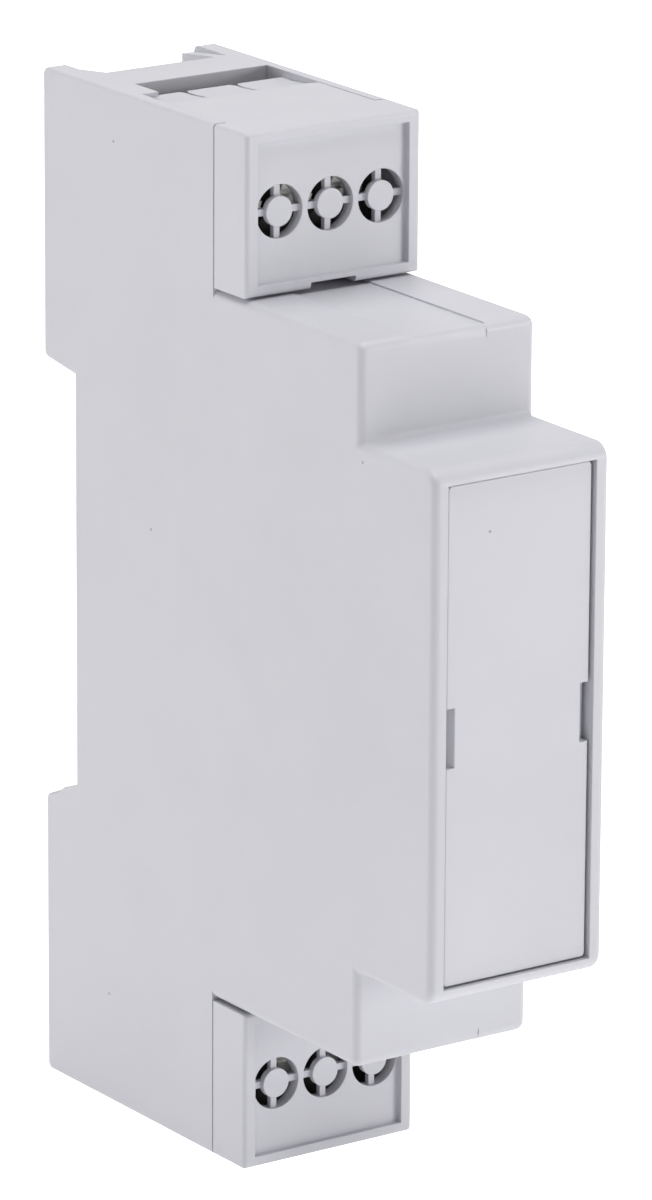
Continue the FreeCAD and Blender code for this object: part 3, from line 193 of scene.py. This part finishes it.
@dataclass(frozen=True)
class Finish:
    """A surface finish: colour, gloss, grain, and edge wear with a painted edge highlight, all as
    procedural nodes.
    """

    name: str
    colour: Colour
    roughness: float = 0.42
    pattern: Pattern = Pattern.MOULDED
    cloud: float = 0.02
    grain_size: float = 0.12 * MM
    grain_height: float = 0.004 * MM
    edge: float = 0.12 * MM
    # gain that lightens rounded edges: partly wear, partly a painted highlight
    edge_wear_and_highlight_gain: float = 1.05
    metallic: float = 0.0
    specular: float = 0.5
    coat: float = 0.0
    coat_roughness: float = 0.12
    gloss_range: tuple[float, float] = (0.88, 1.14)
    cloud_scale: float = 55.0
    cloud_span: tuple[float, float] = (0.32, 0.68)
    smear_scale: float = 260.0
    # noise scale, least share and normal span of the edge mask, which is part wear and part painted
    # highlight
    wear_and_highlight_scale: float = 700.0
    wear_and_highlight_least: float = 0.45
    wear_and_highlight_span: tuple[float, float] = (0.80, 0.995)
    specks: tuple[Point, ...] = ()
    speck_radii: tuple[float, float] = (0.05 * MM, 0.17 * MM)
    speck_tone: Colour = (0.42, 0.42, 0.43)

    def material(self) -> bpy.types.Material:
        """Build the node material.

        Returns:
            The new material.
        """
        graph = Graph(self.name)
        shader = graph.shader
        shader.inputs["Metallic"].default_value = self.metallic
        shader.inputs["Specular IOR Level"].default_value = self.specular
        if self.coat:
            shader.inputs["Coat Weight"].default_value = self.coat
            shader.inputs["Coat Roughness"].default_value = self.coat_roughness
        rounded = graph.node("ShaderNodeBevel", samples=6)
        rounded.inputs["Radius"].default_value = self.edge
        broad = graph.noise(self.cloud_scale, detail=4.0, rough=0.55)
        share = graph.spread(broad, "Fac", 0.0, 1.0, *self.cloud_span)
        darker, lighter = (shade(self.colour, 1.0 + sign * self.cloud) for sign in (-1.0, 1.0))
        base = graph.blend((share, "Result"), darker, lighter)
        # rounded edges are lightened: partly real wear, partly a painted highlight
        wear_and_highlight = self._edge_wear_and_highlight(graph, rounded)
        wear_and_highlight_tint = graph.blend((wear_and_highlight, "Result"), WHITE, (self.edge_wear_and_highlight_gain,) * 3)
        colour = graph.node("ShaderNodeMix", data_type="RGBA", blend_type="MULTIPLY")
        colour.inputs[MIX_SHARE].default_value = 1.0
        graph.link(base, MIX_RESULT, colour, MIX_FIRST)
        graph.link(wear_and_highlight_tint, MIX_RESULT, colour, MIX_SECOND)
        colour = self._add_specks(graph, colour)
        graph.link(colour, MIX_RESULT, shader, "Base Color")
        grain = DIPPED_GRAIN if self.pattern is Pattern.DIPPED else 1.0
        fine = graph.noise(1.0 / (self.grain_size * grain), detail=2.0, rough=0.6)
        smear = graph.noise(self.smear_scale, rough=0.6)
        glossy, matt = (min(1.0, self.roughness * factor) for factor in self.gloss_range)
        gloss = graph.spread(smear, "Fac", glossy, matt)
        graph.link(gloss, "Result", shader, "Roughness")
        bump = graph.node("ShaderNodeBump")
        bump.inputs["Strength"].default_value = 1.0
        bump.inputs["Distance"].default_value = self.grain_height * grain
        graph.link(fine, "Fac", bump, "Height")
        graph.link(rounded, "Normal", bump, "Normal")
        graph.link(bump, "Normal", shader, "Normal")
        if self.pattern is Pattern.PLATED:
            self._brush(graph, bump)
        return graph.material

    def _edge_wear_and_highlight(self, graph: Graph, rounded: bpy.types.Node) -> bpy.types.Node:
        """Share of edge wear and painted edge highlight: high where the rounded normal leaves the true one,
        broken up by noise.

        Args:
            graph: the material's nodes.
            rounded: node that gives the rounded normal.

        Returns:
            The node whose output "Result" is the share.
        """
        true = graph.node("ShaderNodeNewGeometry")
        dot = graph.node("ShaderNodeVectorMath", operation="DOT_PRODUCT")
        graph.link(rounded, "Normal", dot, 0)
        graph.link(true, "Normal", dot, 1)
        bend = graph.spread(dot, "Value", 1.0, 0.0, *self.wear_and_highlight_span)
        patches = graph.noise(self.wear_and_highlight_scale, rough=0.6)
        patchy = graph.spread(patches, "Fac", self.wear_and_highlight_least, 1.0)
        both = graph.node("ShaderNodeMath", operation="MULTIPLY")
        graph.link(bend, "Result", both, 0)
        graph.link(patchy, "Result", both, 1)
        result = graph.node("ShaderNodeMapRange")
        graph.link(both, "Value", result, "Value")
        return result

    def _add_specks(self, graph: Graph, colour: bpy.types.Node) -> bpy.types.Node:
        """Darken small round specks in the moulding at the stated places.

        Args:
            graph: the material's nodes.
            colour: mix node that gives the colour so far.

        Returns:
            The mix node with the specks in it.
        """
        for place in self.specks:
            reach = graph.node("ShaderNodeVectorMath", operation="DISTANCE")
            graph.link(graph.place, "Object", reach, 0)
            reach.inputs[1].default_value = place
            share = graph.spread(reach, "Value", 1.0, 0.0, *self.speck_radii)
            made = graph.node("ShaderNodeMix", data_type="RGBA", blend_type="MULTIPLY")
            graph.link(share, "Result", made, MIX_SHARE)
            graph.link(colour, MIX_RESULT, made, MIX_FIRST)
            made.inputs[MIX_SECOND].default_value = (*self.speck_tone, 1.0)
            colour = made
        return colour

    def _brush(self, graph: Graph, bump: bpy.types.Node) -> None:
        """Fine drawn lines in place of the grain: noise stretched along one direction.

        Args:
            graph: the material's nodes.
            bump: the bump node that they raise.
        """
        mapping = graph.node("ShaderNodeMapping")
        mapping.inputs["Scale"].default_value = (1.0, BRUSH_STRETCH, 1.0)
        graph.link(graph.place, "Object", mapping, "Vector")
        lines = graph.node("ShaderNodeTexNoise")
        lines.inputs["Scale"].default_value = BRUSH_SCALE
        graph.link(mapping, "Vector", lines, "Vector")
        graph.link(lines, "Fac", bump, "Height")


GREY: Colour = (0.595, 0.595, 0.636)
SPECKS: tuple[Point, ...] = (
    (-8.75 * MM, -6.0 * MM, 40.8 * MM),
    (-8.75 * MM, -11.7 * MM, 8.2 * MM),
    (-8.75 * MM, -42.9 * MM, 21.3 * MM),
    (-8.75 * MM, -5.0 * MM, -35.4 * MM),
    (-3.0 * MM, -52.65 * MM, 16.9 * MM),
)
FINISHES: dict[str, Finish] = {
    # housing and cover edges lightened more: partly wear, partly a painted highlight
    "housing_grey": Finish("housing_grey", GREY, edge_wear_and_highlight_gain=1.10, specks=SPECKS),
    "cover_grey": Finish("cover_grey", shade(GREY, 1.01), roughness=0.40,
                         edge_wear_and_highlight_gain=1.10, specks=SPECKS),
    "latch_grey": Finish("latch_grey", shade(GREY, 0.9), roughness=0.45),
    "spring_steel": Finish("spring_steel", (0.60, 0.60, 0.58), 0.25, Pattern.PLATED,
                           metallic=1.0, edge=0.03 * MM),
    "terminal_grey": Finish("terminal_grey", (0.09, 0.085, 0.08), roughness=0.5),
    "zinc_steel": Finish("zinc_steel", (0.66, 0.66, 0.63), 0.3, Pattern.PLATED,
                         metallic=1.0, edge=0.08 * MM),
    "tinned_copper": Finish("tinned_copper", (0.68, 0.66, 0.62), 0.32, Pattern.PLATED,
                            metallic=1.0, edge=0.05 * MM),
    "board_green": Finish("board_green", (0.012, 0.075, 0.03), roughness=0.28, coat=0.4, edge=0.05 * MM),
    "film_case": Finish("film_case", (0.55, 0.40, 0.04), roughness=0.3),
    "can_sleeve": Finish("can_sleeve", (0.012, 0.012, 0.014), roughness=0.25, coat=0.3),
    "varistor_blue": Finish("varistor_blue", (0.01, 0.05, 0.22), 0.35, Pattern.DIPPED, coat=0.5),
    "resistor_coat": Finish("resistor_coat", (0.16, 0.27, 0.36), 0.4, Pattern.DIPPED),
    "black_epoxy": Finish("black_epoxy", (0.012, 0.012, 0.013), roughness=0.5, grain_height=0.008 * MM),
    "relay_case": Finish("relay_case", (0.014, 0.014, 0.016), roughness=0.3),
    "relay_base": Finish("relay_base", (0.02, 0.02, 0.022), roughness=0.5),
    "bobbin_white": Finish("bobbin_white", (0.62, 0.58, 0.48), roughness=0.4),
    "winding_copper": Finish("winding_copper", (0.62, 0.22, 0.07), 0.3, metallic=1.0, edge=0.02 * MM),
    "magnet_iron": Finish("magnet_iron", (0.42, 0.42, 0.41), 0.38, Pattern.PLATED,
                          metallic=1.0, edge=0.08 * MM),
    "contact_alloy": Finish("contact_alloy", (0.66, 0.45, 0.18), 0.28, Pattern.PLATED,
                            metallic=1.0, edge=0.05 * MM),
}


# ---------------------------------------------------------------- carried-over pieces

@dataclass
class CadDresser:
    """Gives every carried-over piece its finish, welded vertices and clean shading."""

    sharp_angle: float = math.radians(32.0)
    weld: float = 1e-7
    materials: dict[str, bpy.types.Material] = field(default_factory=dict)

    def material(self, slot: str) -> bpy.types.Material:
        """The material of a slot, made at its first use.

        Args:
            slot: the slot's name.

        Returns:
            Its material.
        """
        if slot not in self.materials:
            self.materials[slot] = FINISHES[slot].material()
        return self.materials[slot]

    def shading_group(self) -> bpy.types.NodeTree:
        """Geometry nodes that weld loose triangles and keep only true corners sharp.

        Returns:
            The node group.
        """
        group = bpy.data.node_groups.new("weld_and_smooth", "GeometryNodeTree")
        group.interface.new_socket("Geometry", in_out="INPUT", socket_type="NodeSocketGeometry")
        group.interface.new_socket("Geometry", in_out="OUTPUT", socket_type="NodeSocketGeometry")
        nodes, links = group.nodes, group.links
        start, end = nodes.new("NodeGroupInput"), nodes.new("NodeGroupOutput")
        weld = nodes.new("GeometryNodeMergeByDistance")
        weld.inputs["Distance"].default_value = self.weld
        smooth = nodes.new("GeometryNodeSetShadeSmooth")
        angle = nodes.new("GeometryNodeInputMeshEdgeAngle")
        compare = nodes.new("FunctionNodeCompare")
        compare.data_type, compare.operation = "FLOAT", "GREATER_THAN"
        compare.inputs[1].default_value = self.sharp_angle
        sharpen = nodes.new("GeometryNodeSetShadeSmooth")
        sharpen.domain = "EDGE"
        sharpen.inputs["Shade Smooth"].default_value = False
        links.new(start.outputs[0], weld.inputs["Geometry"])
        links.new(weld.outputs["Geometry"], smooth.inputs[0])
        links.new(smooth.outputs[0], sharpen.inputs[0])
        links.new(angle.outputs["Unsigned Angle"], compare.inputs[0])
        links.new(compare.outputs[0], sharpen.inputs["Selection"])
        links.new(sharpen.outputs[0], end.inputs[0])
        return group

    def dress(self) -> None:
        """Dress every CAD node."""
        group = self.shading_group()
        for part in frame["record"]["subparts"]:
            node = frame["nodes"][part["node"]]
            made = self.material(part["material_slot"])
            node.data.materials.clear()
            node.data.materials.append(made)
            welded = node.modifiers.new("weld_and_smooth", "NODES")
            welded.node_group = group
            weighted = node.modifiers.new("weighted_normals", "WEIGHTED_NORMAL")
            weighted.keep_sharp = True
            weighted.weight = 100
            log.info("dressed %s with %s", node.name, part["material_slot"])


# ---------------------------------------------------------------- studio

@dataclass(frozen=True)
class SoftLight:
    """A large soft light: where it stands, and how much it gives a face turned towards it."""

    name: str
    azimuth: float
    elevation: float
    distance: float
    size: float
    share: float

    def build(self, target: Point) -> bpy.types.Object:
        """Place the light on a sphere round the target; its power follows from the share and the distance.

        Args:
            target: the point it faces.

        Returns:
            The light object.
        """
        az, el = math.radians(self.azimuth), math.radians(self.elevation)
        out = Vector((math.sin(az) * math.cos(el), -math.cos(az) * math.cos(el), math.sin(el)))
        data = bpy.data.lights.new(self.name, "AREA")
        data.shape = "SQUARE"
        data.size = self.size
        data.energy = self.share * (math.pi * self.distance) ** 2
        made = bpy.data.objects.new(self.name, data)
        made.location = Vector(target) + out * self.distance
        made.rotation_euler = out.to_track_quat("Z", "Y").to_euler()
        bpy.context.scene.collection.objects.link(made)
        return made


@dataclass
class Studio:
    """Camera, pale floor and soft light."""

    azimuth: float = math.radians(-34.73)
    elevation: float = math.radians(16.52)
    roll: float = math.radians(0.32)
    distance: float = 650.75 * MM
    aim: tuple[float, float] = (0.66 * MM, 3.43 * MM)
    pivot: Point = (0.0, -24.0 * MM, 0.0)
    lens: float = 231.336
    surroundings: float = 0.18
    bounce_glow: float = 0.40
    floor_glow: float = 1.02
    floor_grey: float = 0.79
    floor_cloud: float = 0.02
    floor_cloud_scale: float = 3.0
    floor_roughness: float = 0.9
    floor_specular: float = 0.1
    floor_reach: float = 6.0
    floor_points: int = 9
    bounce_drop: float = 0.02 * MM
    seen_drop: float = 0.05 * MM
    clip: tuple[float, float] = (0.01, 10.0)
    sensor: float = 36.0
    lights: tuple[SoftLight, ...] = (
        SoftLight("top_soft", 0.0, 90.0, 1.2, 1.1, 1.00),
        SoftLight("rear_right_soft", 145.0, 20.0, 1.2, 1.0, 0.14),
        SoftLight("front_right_soft", 38.0, 0.0, 1.2, 0.6, 0.64),
        SoftLight("rear_left_soft", -125.0, 5.0, 1.2, 0.8, 0.40),
    )

    def camera(self) -> bpy.types.Object:
        """Camera on a sphere round the pivot, its optical axis through the middle of the frame.

        Returns:
            The camera object.
        """
        az, el = self.azimuth, self.elevation
        back = Vector((math.sin(az) * math.cos(el), -math.cos(az) * math.cos(el), math.sin(el)))
        right = Vector((math.cos(az), math.sin(az), 0.0))
        up = back.cross(right)
        target = Vector(self.pivot) + self.aim[0] * right + self.aim[1] * up
        turned_right = math.cos(self.roll) * right + math.sin(self.roll) * up
        turned_up = -math.sin(self.roll) * right + math.cos(self.roll) * up
        data = bpy.data.cameras.new("camera")
        data.sensor_fit = "AUTO"
        data.sensor_width = self.sensor
        data.lens = self.lens
        data.clip_start, data.clip_end = self.clip
        made = bpy.data.objects.new("camera", data)
        axes = Matrix((turned_right, turned_up, back)).transposed()
        made.matrix_world = Matrix.Translation(target + back * self.distance) @ axes.to_4x4()
        bpy.context.scene.collection.objects.link(made)
        bpy.context.scene.camera = made
        return made

    def _plane(self, name: str, drop: float, glow: float) -> bpy.types.Object:
        """One wide pale plane under the object: a grid of points with z constant.

        Args:
            name: the plane's name.
            drop: how far under the object's lowest point it lies.
            glow: light it gives by itself.

        Returns:
            The plane.
        """
        line = np.linspace(-self.floor_reach, self.floor_reach, self.floor_points)
        x, y = np.meshgrid(line, line, indexing="ij")
        z = np.full_like(x, CAD_BOX[0].z - drop)
        made = grid_piece(name, np.stack([x, y, z], axis=-1))
        graph = Graph(name)
        graph.shader.inputs["Roughness"].default_value = self.floor_roughness
        graph.shader.inputs["Specular IOR Level"].default_value = self.floor_specular
        share = graph.spread(graph.noise(self.floor_cloud_scale), "Fac", 0.0, 1.0)
        darker, lighter = ((self.floor_grey + step,) * 3 for step in (0.0, self.floor_cloud))
        tone = graph.blend((share, "Result"), darker, lighter)
        graph.link(tone, MIX_RESULT, graph.shader, "Base Color")
        graph.shader.inputs["Emission Color"].default_value = (*WHITE, 1.0)
        graph.shader.inputs["Emission Strength"].default_value = glow
        made.data.materials.append(graph.material)
        return made

    def floor(self) -> None:
        """The white floor that is seen, and over it an unseen pale one that throws light back."""
        bounce = self._plane("floor_bounce", self.bounce_drop, self.bounce_glow)
        bounce.visible_camera = False
        seen = self._plane("floor_seen", self.seen_drop, self.floor_glow)
        for flag in ("visible_diffuse", "visible_glossy", "visible_transmission", "visible_shadow"):
            setattr(seen, flag, False)

    def world(self) -> None:
        """Even white surroundings."""
        world = bpy.data.worlds.new("studio_white")
        world.use_nodes = True
        world.node_tree.nodes["Background"].inputs["Color"].default_value = (*WHITE, 1.0)
        world.node_tree.nodes["Background"].inputs["Strength"].default_value = self.surroundings
        bpy.context.scene.world = world

    def build(self) -> None:
        """Set up the whole studio."""
        self.camera()
        self.floor()
        self.world()
        for light in self.lights:
            light.build(self.pivot)
        view = bpy.context.scene.view_settings
        view.view_transform = "Standard"
        view.look = "None"


def outward(corners: np.ndarray, faces: np.ndarray) -> bool:
    """Whether a closed surface's faces point outwards: the volume under its faces is positive.

    Args:
        corners: vertices, shape (count, 3).
        faces: four-sided faces, shape (count, 4).

    Returns:
        True if they do.
    """
    centred = corners - corners.mean(axis=0)
    a, b, c, d = (centred[faces[:, k]] for k in range(4))
    volume = np.einsum("ij,ij->i", a, np.cross(b, c)) + np.einsum("ij,ij->i", a, np.cross(c, d))
    return bool(volume.sum() > 0.0)


def grid_piece(name: str, points: np.ndarray, wrap_rows: bool = False, wrap_columns: bool = False,
               poles: np.ndarray | None = None) -> bpy.types.Object:
    """Mesh from one or more grids of points, one four-sided face per cell.

    Args:
        name: the piece's name.
        points: array of shape (rows, columns, 3) or (grids, rows, columns, 3), in metres.
        wrap_rows: join the last row to the first.
        wrap_columns: join the last column to the first.
        poles: per grid the two points that close its first and last row, shape (2, 3) or (grids, 2, 3).

    Returns:
        The new object, linked to the scene.
    """
    grids = points.reshape(-1, *points.shape[-3:])
    count, rows, columns = grids.shape[:3]
    corners = grids.reshape(-1, 3)
    index = np.arange(len(corners)).reshape(count, rows, columns)
    if wrap_rows:
        index = np.concatenate([index, index[:, :1]], axis=1)
    if wrap_columns:
        index = np.concatenate([index, index[:, :, :1]], axis=2)
    cells = [index[:, :-1, :-1], index[:, 1:, :-1], index[:, 1:, 1:], index[:, :-1, 1:]]
    faces = np.stack(cells, axis=-1).reshape(-1, 4)
    fans = np.empty((0, 3), dtype=int)
    if poles is not None:
        ends = len(corners) + np.arange(2 * count).reshape(count, 2, 1)
        corners = np.vstack([corners, poles.reshape(-1, 3)])
        first = np.broadcast_to(ends[:, 0], index[:, 0, :-1].shape)
        last = np.broadcast_to(ends[:, 1], index[:, -1, :-1].shape)
        fans = np.vstack([
            np.stack([first, index[:, 0, :-1], index[:, 0, 1:]], axis=-1).reshape(-1, 3),
            np.stack([last, index[:, -1, 1:], index[:, -1, :-1]], axis=-1).reshape(-1, 3),
        ])
    if (poles is not None or wrap_rows) and not outward(corners, faces):
        faces, fans = faces[:, ::-1], fans[:, ::-1]
    mesh = bpy.data.meshes.new(name)
    mesh.from_pydata(corners.tolist(), [], faces.tolist() + fans.tolist())
    mesh.shade_smooth()
    made = bpy.data.objects.new(name, mesh)
    bpy.context.scene.collection.objects.link(made)
    return made


def tube_points(path: np.ndarray, side: np.ndarray, radius: float, sides: int) -> np.ndarray:
    """Round tube along a path: path point + radius * (cos v * side + sin v * (tangent x side)).

    Args:
        path: points along the middle, shape (steps, 3).
        side: unit vectors square to the path, one for each point.
        radius: the tube's radius.
        sides: points round it.

    Returns:
        Grid of shape (steps, sides, 3).
    """
    tangent = np.gradient(path, axis=0)
    tangent /= np.linalg.norm(tangent, axis=1, keepdims=True)
    other = np.cross(tangent, side)
    turn = np.linspace(0.0, 2.0 * np.pi, sides, endpoint=False)[None, :, None]
    return path[:, None] + radius * (np.cos(turn) * side[:, None] + np.sin(turn) * other[:, None])


# ---------------------------------------------------------------- new pieces

@dataclass(frozen=True)
class Piece:
    """A new piece: its name, the body it rides on and the slot of its finish."""

    name: str
    body: str
    slot: str

    def finish(self, made: bpy.types.Object, dresser: CadDresser) -> bpy.types.Object:
        """Give a built piece its finish and its body.

        Args:
            made: the built object.
            dresser: gives the slot's material.

        Returns:
            The same object.
        """
        made.data.materials.append(dresser.material(self.slot))
        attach(made, self.body)
        log.info("built %s on %s", made.name, self.body)
        return made


@dataclass(frozen=True)
class LatchSpring:
    """Compression spring with closed end coils, between the base's lug and the latch's window."""

    piece: Piece = Piece("latch_spring_wire", "housing", "spring_steel")
    wire: float = 0.35 * MM
    turns: float = 8.6
    closed: float = 0.9
    steps_per_turn: int = 36
    sides: int = 12
    travel_keep: float = 0.62
    closed_pitch: float = 1.02
    ease_start: float = 0.35

    def build(self, dresser: CadDresser) -> bpy.types.Object:
        """Wind the wire: a helix whose pitch falls to the wire's width in the end coils.

        Args:
            dresser: gives the finish.

        Returns:
            The spring.
        """
        low, high = (np.array(corner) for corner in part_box("latch_spring"))
        centre = (low + high) / 2.0
        radius = (high[0] - low[0] - self.wire) / 2.0
        turn = np.linspace(0.0, self.turns, int(self.turns * self.steps_per_turn) + 1)
        ease = [np.clip(t / self.closed - self.ease_start, 0.0, 1.0) for t in (turn, self.turns - turn)]
        open_share = np.prod([3.0 * e ** 2 - 2.0 * e ** 3 for e in ease], axis=0)
        step = turn[1] - turn[0]
        closed_rise = self.wire * self.closed_pitch * turn
        open_rise = np.cumsum(open_share) * step
        length = high[2] - low[2] - self.wire
        rise = closed_rise + open_rise * (length - closed_rise[-1]) / open_rise[-1]
        angle = 2.0 * np.pi * turn
        side = np.stack([np.cos(angle), np.sin(angle), np.zeros_like(angle)], axis=-1)
        path = radius * side + np.array([centre[0], centre[1], low[2] + self.wire / 2.0])
        path[:, 2] += rise
        points = tube_points(path, side, self.wire / 2.0, self.sides)
        made = grid_piece(self.piece.name, points, wrap_columns=True, poles=path[[0, -1]])
        self.piece.finish(made, dresser)
        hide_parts("latch_spring")
        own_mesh(made)
        return made


@dataclass(frozen=True)
class CoilWinding:
    """Copper wire wound on the relay's bobbin."""

    piece: Piece = Piece("winding_turns", "housing", "winding_copper")
    wire: float = 0.22 * MM
    bore: float = 2.07 * MM
    groove_share: float = 0.9
    steps_per_wire: int = 6
    sides: int = 56

    def build(self, dresser: CadDresser) -> bpy.types.Object:
        """Wind the coil: radius = outer radius less the sag between two turns of a round wire.

        Args:
            dresser: gives the finish.

        Returns:
            The winding.
        """
        low, high = (np.array(corner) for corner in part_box("relay_coil"))
        centre = (low + high) / 2.0
        outer = (high[1] - low[1]) / 2.0
        count = int((high[2] - low[2]) / self.wire) * self.steps_per_wire
        height = np.linspace(low[2], high[2], count + 1)[:, None]
        angle = np.linspace(0.0, 2.0 * np.pi, self.sides, endpoint=False)[None, :]
        phase = (height - low[2]) / self.wire - angle / (2.0 * np.pi)
        from_middle = (phase - np.round(phase)) * self.wire
        half = self.wire / 2.0
        radius = outer - half + np.sqrt(np.maximum(half ** 2 - self.groove_share * from_middle ** 2, 0.0))
        inner = np.full((2, self.sides), self.bore)
        radius = np.vstack([radius, inner])
        height = np.vstack([height, high[2:, None], low[2:, None]])
        points = np.stack([
            centre[0] + radius * np.cos(angle),
            centre[1] + radius * np.sin(angle),
            np.broadcast_to(height, radius.shape),
        ], axis=-1)
        made = grid_piece(self.piece.name, points, wrap_rows=True, wrap_columns=True)
        self.piece.finish(made, dresser)
        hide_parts("relay_coil")
        return made


@dataclass(frozen=True)
class SolderSide:
    """Solder joints and copper tracks on the circuit board's back."""

    joints: Piece = Piece("solder_joints", "housing", "tinned_copper")
    tracks: Piece = Piece("board_tracks", "housing", "board_green")
    pad: float = 0.95 * MM
    lead: float = 0.32 * MM
    height: float = 0.52 * MM
    tip: float = 0.02 * MM
    rings: int = 7
    sides: int = 20
    track_half: float = 0.55 * MM
    track_height: float = 0.05 * MM
    track_steps: int = 40
    track_sides: int = 12
    leads: tuple[tuple[float, float], ...] = (
        (-24.0, 7.0), (-24.0, 22.0), (-35.0, -12.5), (-35.0, -7.5), (-34.5, 12.0), (-34.5, 17.0),
        (-45.0, 3.0), (-45.0, 15.0), (-45.0, -15.0), (-45.0, -3.0), (-17.5, -8.0), (-17.5, 2.0),
        (-27.0, -15.0), (-27.0, -10.0), (-22.0, -15.0), (-22.0, -10.0),
        (-21.27, -21.5), (-20.0, -21.5), (-18.73, -21.5),
    )
    runs: tuple[tuple[tuple[float, float], ...], ...] = (
        ((-24.0, 7.0), (-24.0, 4.0), (-35.0, 4.0), (-35.0, -7.5)),
        ((-24.0, 22.0), (-30.0, 22.0), (-34.5, 17.0)),
        ((-34.5, 12.0), (-40.0, 12.0), (-45.0, 3.0)),
        ((-35.0, -12.5), (-30.0, -17.0), (-27.0, -15.0)),
        ((-22.0, -10.0), (-17.5, -8.0)),
        ((-18.73, -21.5), (-13.0, -21.5), (-13.0, -6.0), (-17.5, 2.0)),
        ((-45.0, -3.0), (-39.0, -3.0), (-35.0, -7.5)),
    )

    def build(self, dresser: CadDresser) -> None:
        """Build the joints and the tracks on the board's back face.

        Args:
            dresser: gives the finishes.
        """
        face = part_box("circuit_board")[0].x
        self.joints.finish(self._joints(face), dresser)
        self.tracks.finish(self._tracks(face), dresser)

    def _joints(self, face: float) -> bpy.types.Object:
        """Solder cones: radius falls from pad to lead as the square of the share still to climb.

        Args:
            face: x of the board's back face.

        Returns:
            All the cones as one piece.
        """
        share = np.linspace(0.0, 1.0, self.rings)
        radius = self.lead + (self.pad - self.lead) * (1.0 - share) ** 2
        rise = self.height * share
        angle = np.linspace(0.0, 2.0 * np.pi, self.sides, endpoint=False)
        places = np.array(self.leads) * MM
        y = places[:, 0, None, None] + radius[None, :, None] * np.cos(angle)
        z = places[:, 1, None, None] + radius[None, :, None] * np.sin(angle)
        x = np.broadcast_to(face - rise[None, :, None], y.shape)
        ends = np.array([face, face - self.height - self.tip])
        poles = np.stack([
            np.broadcast_to(ends, (len(places), 2)),
            np.repeat(places[:, :1], 2, axis=1),
            np.repeat(places[:, 1:], 2, axis=1),
        ], axis=-1)
        return grid_piece(self.joints.name, np.stack([x, y, z], axis=-1), wrap_columns=True, poles=poles)

    def _tracks(self, face: float) -> bpy.types.Object:
        """Flat ribbons along the runs: a flat oval as wide as the track, carried along each path.

        Args:
            face: x of the board's back face.

        Returns:
            All the tracks as one piece.
        """
        grids = []
        ends = []
        for run in self.runs:
            knots = np.array(run) * MM
            along = np.concatenate([[0.0], np.cumsum(np.linalg.norm(np.diff(knots, axis=0), axis=1))])
            places = np.linspace(0.0, along[-1], self.track_steps)
            y, z = (np.interp(places, along, knots[:, k]) for k in (0, 1))
            path = np.stack([np.full(self.track_steps, face), y, z], axis=-1)
            tangent = np.gradient(path, axis=0)
            tangent /= np.linalg.norm(tangent, axis=1, keepdims=True)
            side = np.cross(tangent, np.array([1.0, 0.0, 0.0]))
            turn = np.linspace(0.0, 2.0 * np.pi, self.track_sides, endpoint=False)
            across = (self.track_half * np.cos(turn))[None, :, None] * side[:, None]
            up = np.array([-1.0, 0.0, 0.0]) * (self.track_height * np.sin(turn))[None, :, None]
            grids.append(path[:, None] + across + up)
            ends.append(path[[0, -1]])
        return grid_piece(self.tracks.name, np.array(grids), wrap_columns=True, poles=np.array(ends))


@dataclass(frozen=True)
class CapacitorTop:
    """Bare aluminium end of the electrolytic capacitor, with its pressed vent."""

    piece: Piece = Piece("capacitor_vent", "housing", "zinc_steel")
    radius: float = 4.1 * MM
    wall: float = 0.10 * MM
    groove: float = 0.06 * MM
    groove_half: float = 0.22 * MM
    spokes: tuple[float, float, float] = (90.0, 210.0, 330.0)
    rim_share: float = 0.15
    core_share: float = 0.03
    sink: float = 0.03 * MM
    rings: int = 30
    sides: int = 72

    def build(self, dresser: CadDresser) -> bpy.types.Object:
        """Disc pressed with three grooves: height = wall less groove * exp(-(distance / half)^2).

        Args:
            dresser: gives the finish.

        Returns:
            The disc.
        """
        low, high = (np.array(corner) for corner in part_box("smoothing_capacitor"))
        middle = (low + high) / 2.0
        ring = np.concatenate([[1.0], np.linspace(1.0, self.core_share, self.rings)])[:, None] * self.radius
        angle = np.linspace(0.0, 2.0 * np.pi, self.sides, endpoint=False)[None, :]
        across, along = ring * np.cos(angle), ring * np.sin(angle)
        spokes = np.radians(self.spokes)[:, None, None]
        ahead = across * np.cos(spokes) + along * np.sin(spokes)
        beside = -across * np.sin(spokes) + along * np.cos(spokes)
        distance = np.where(ahead > 0.0, np.abs(beside), np.hypot(ahead, beside)).min(axis=0)
        fade = np.clip((self.radius - ring) / (self.rim_share * self.radius), 0.0, 1.0)
        height = self.wall - self.groove * fade * np.exp(-(distance / self.groove_half) ** 2)
        height[0] = 0.0
        face = high[0] - self.sink
        points = np.stack([face + height, middle[1] + across, middle[2] + along], axis=-1)
        floor = face + self.wall - self.groove
        poles = np.array([[x, middle[1], middle[2]] for x in (face, floor)])
        made = grid_piece(self.piece.name, points, wrap_columns=True, poles=poles)
        return self.piece.finish(made, dresser)


def main() -> None:
    """Build the scene in order and report each step."""
    logging.basicConfig(level=logging.INFO, format="%(name)s: %(message)s")
    Studio().build()
    dresser = CadDresser()
    dresser.dress()
    LatchSpring().build(dresser)
    CoilWinding().build(dresser)
    SolderSide().build(dresser)
    CapacitorTop().build(dresser)


if __name__ == "__main__":
    main()
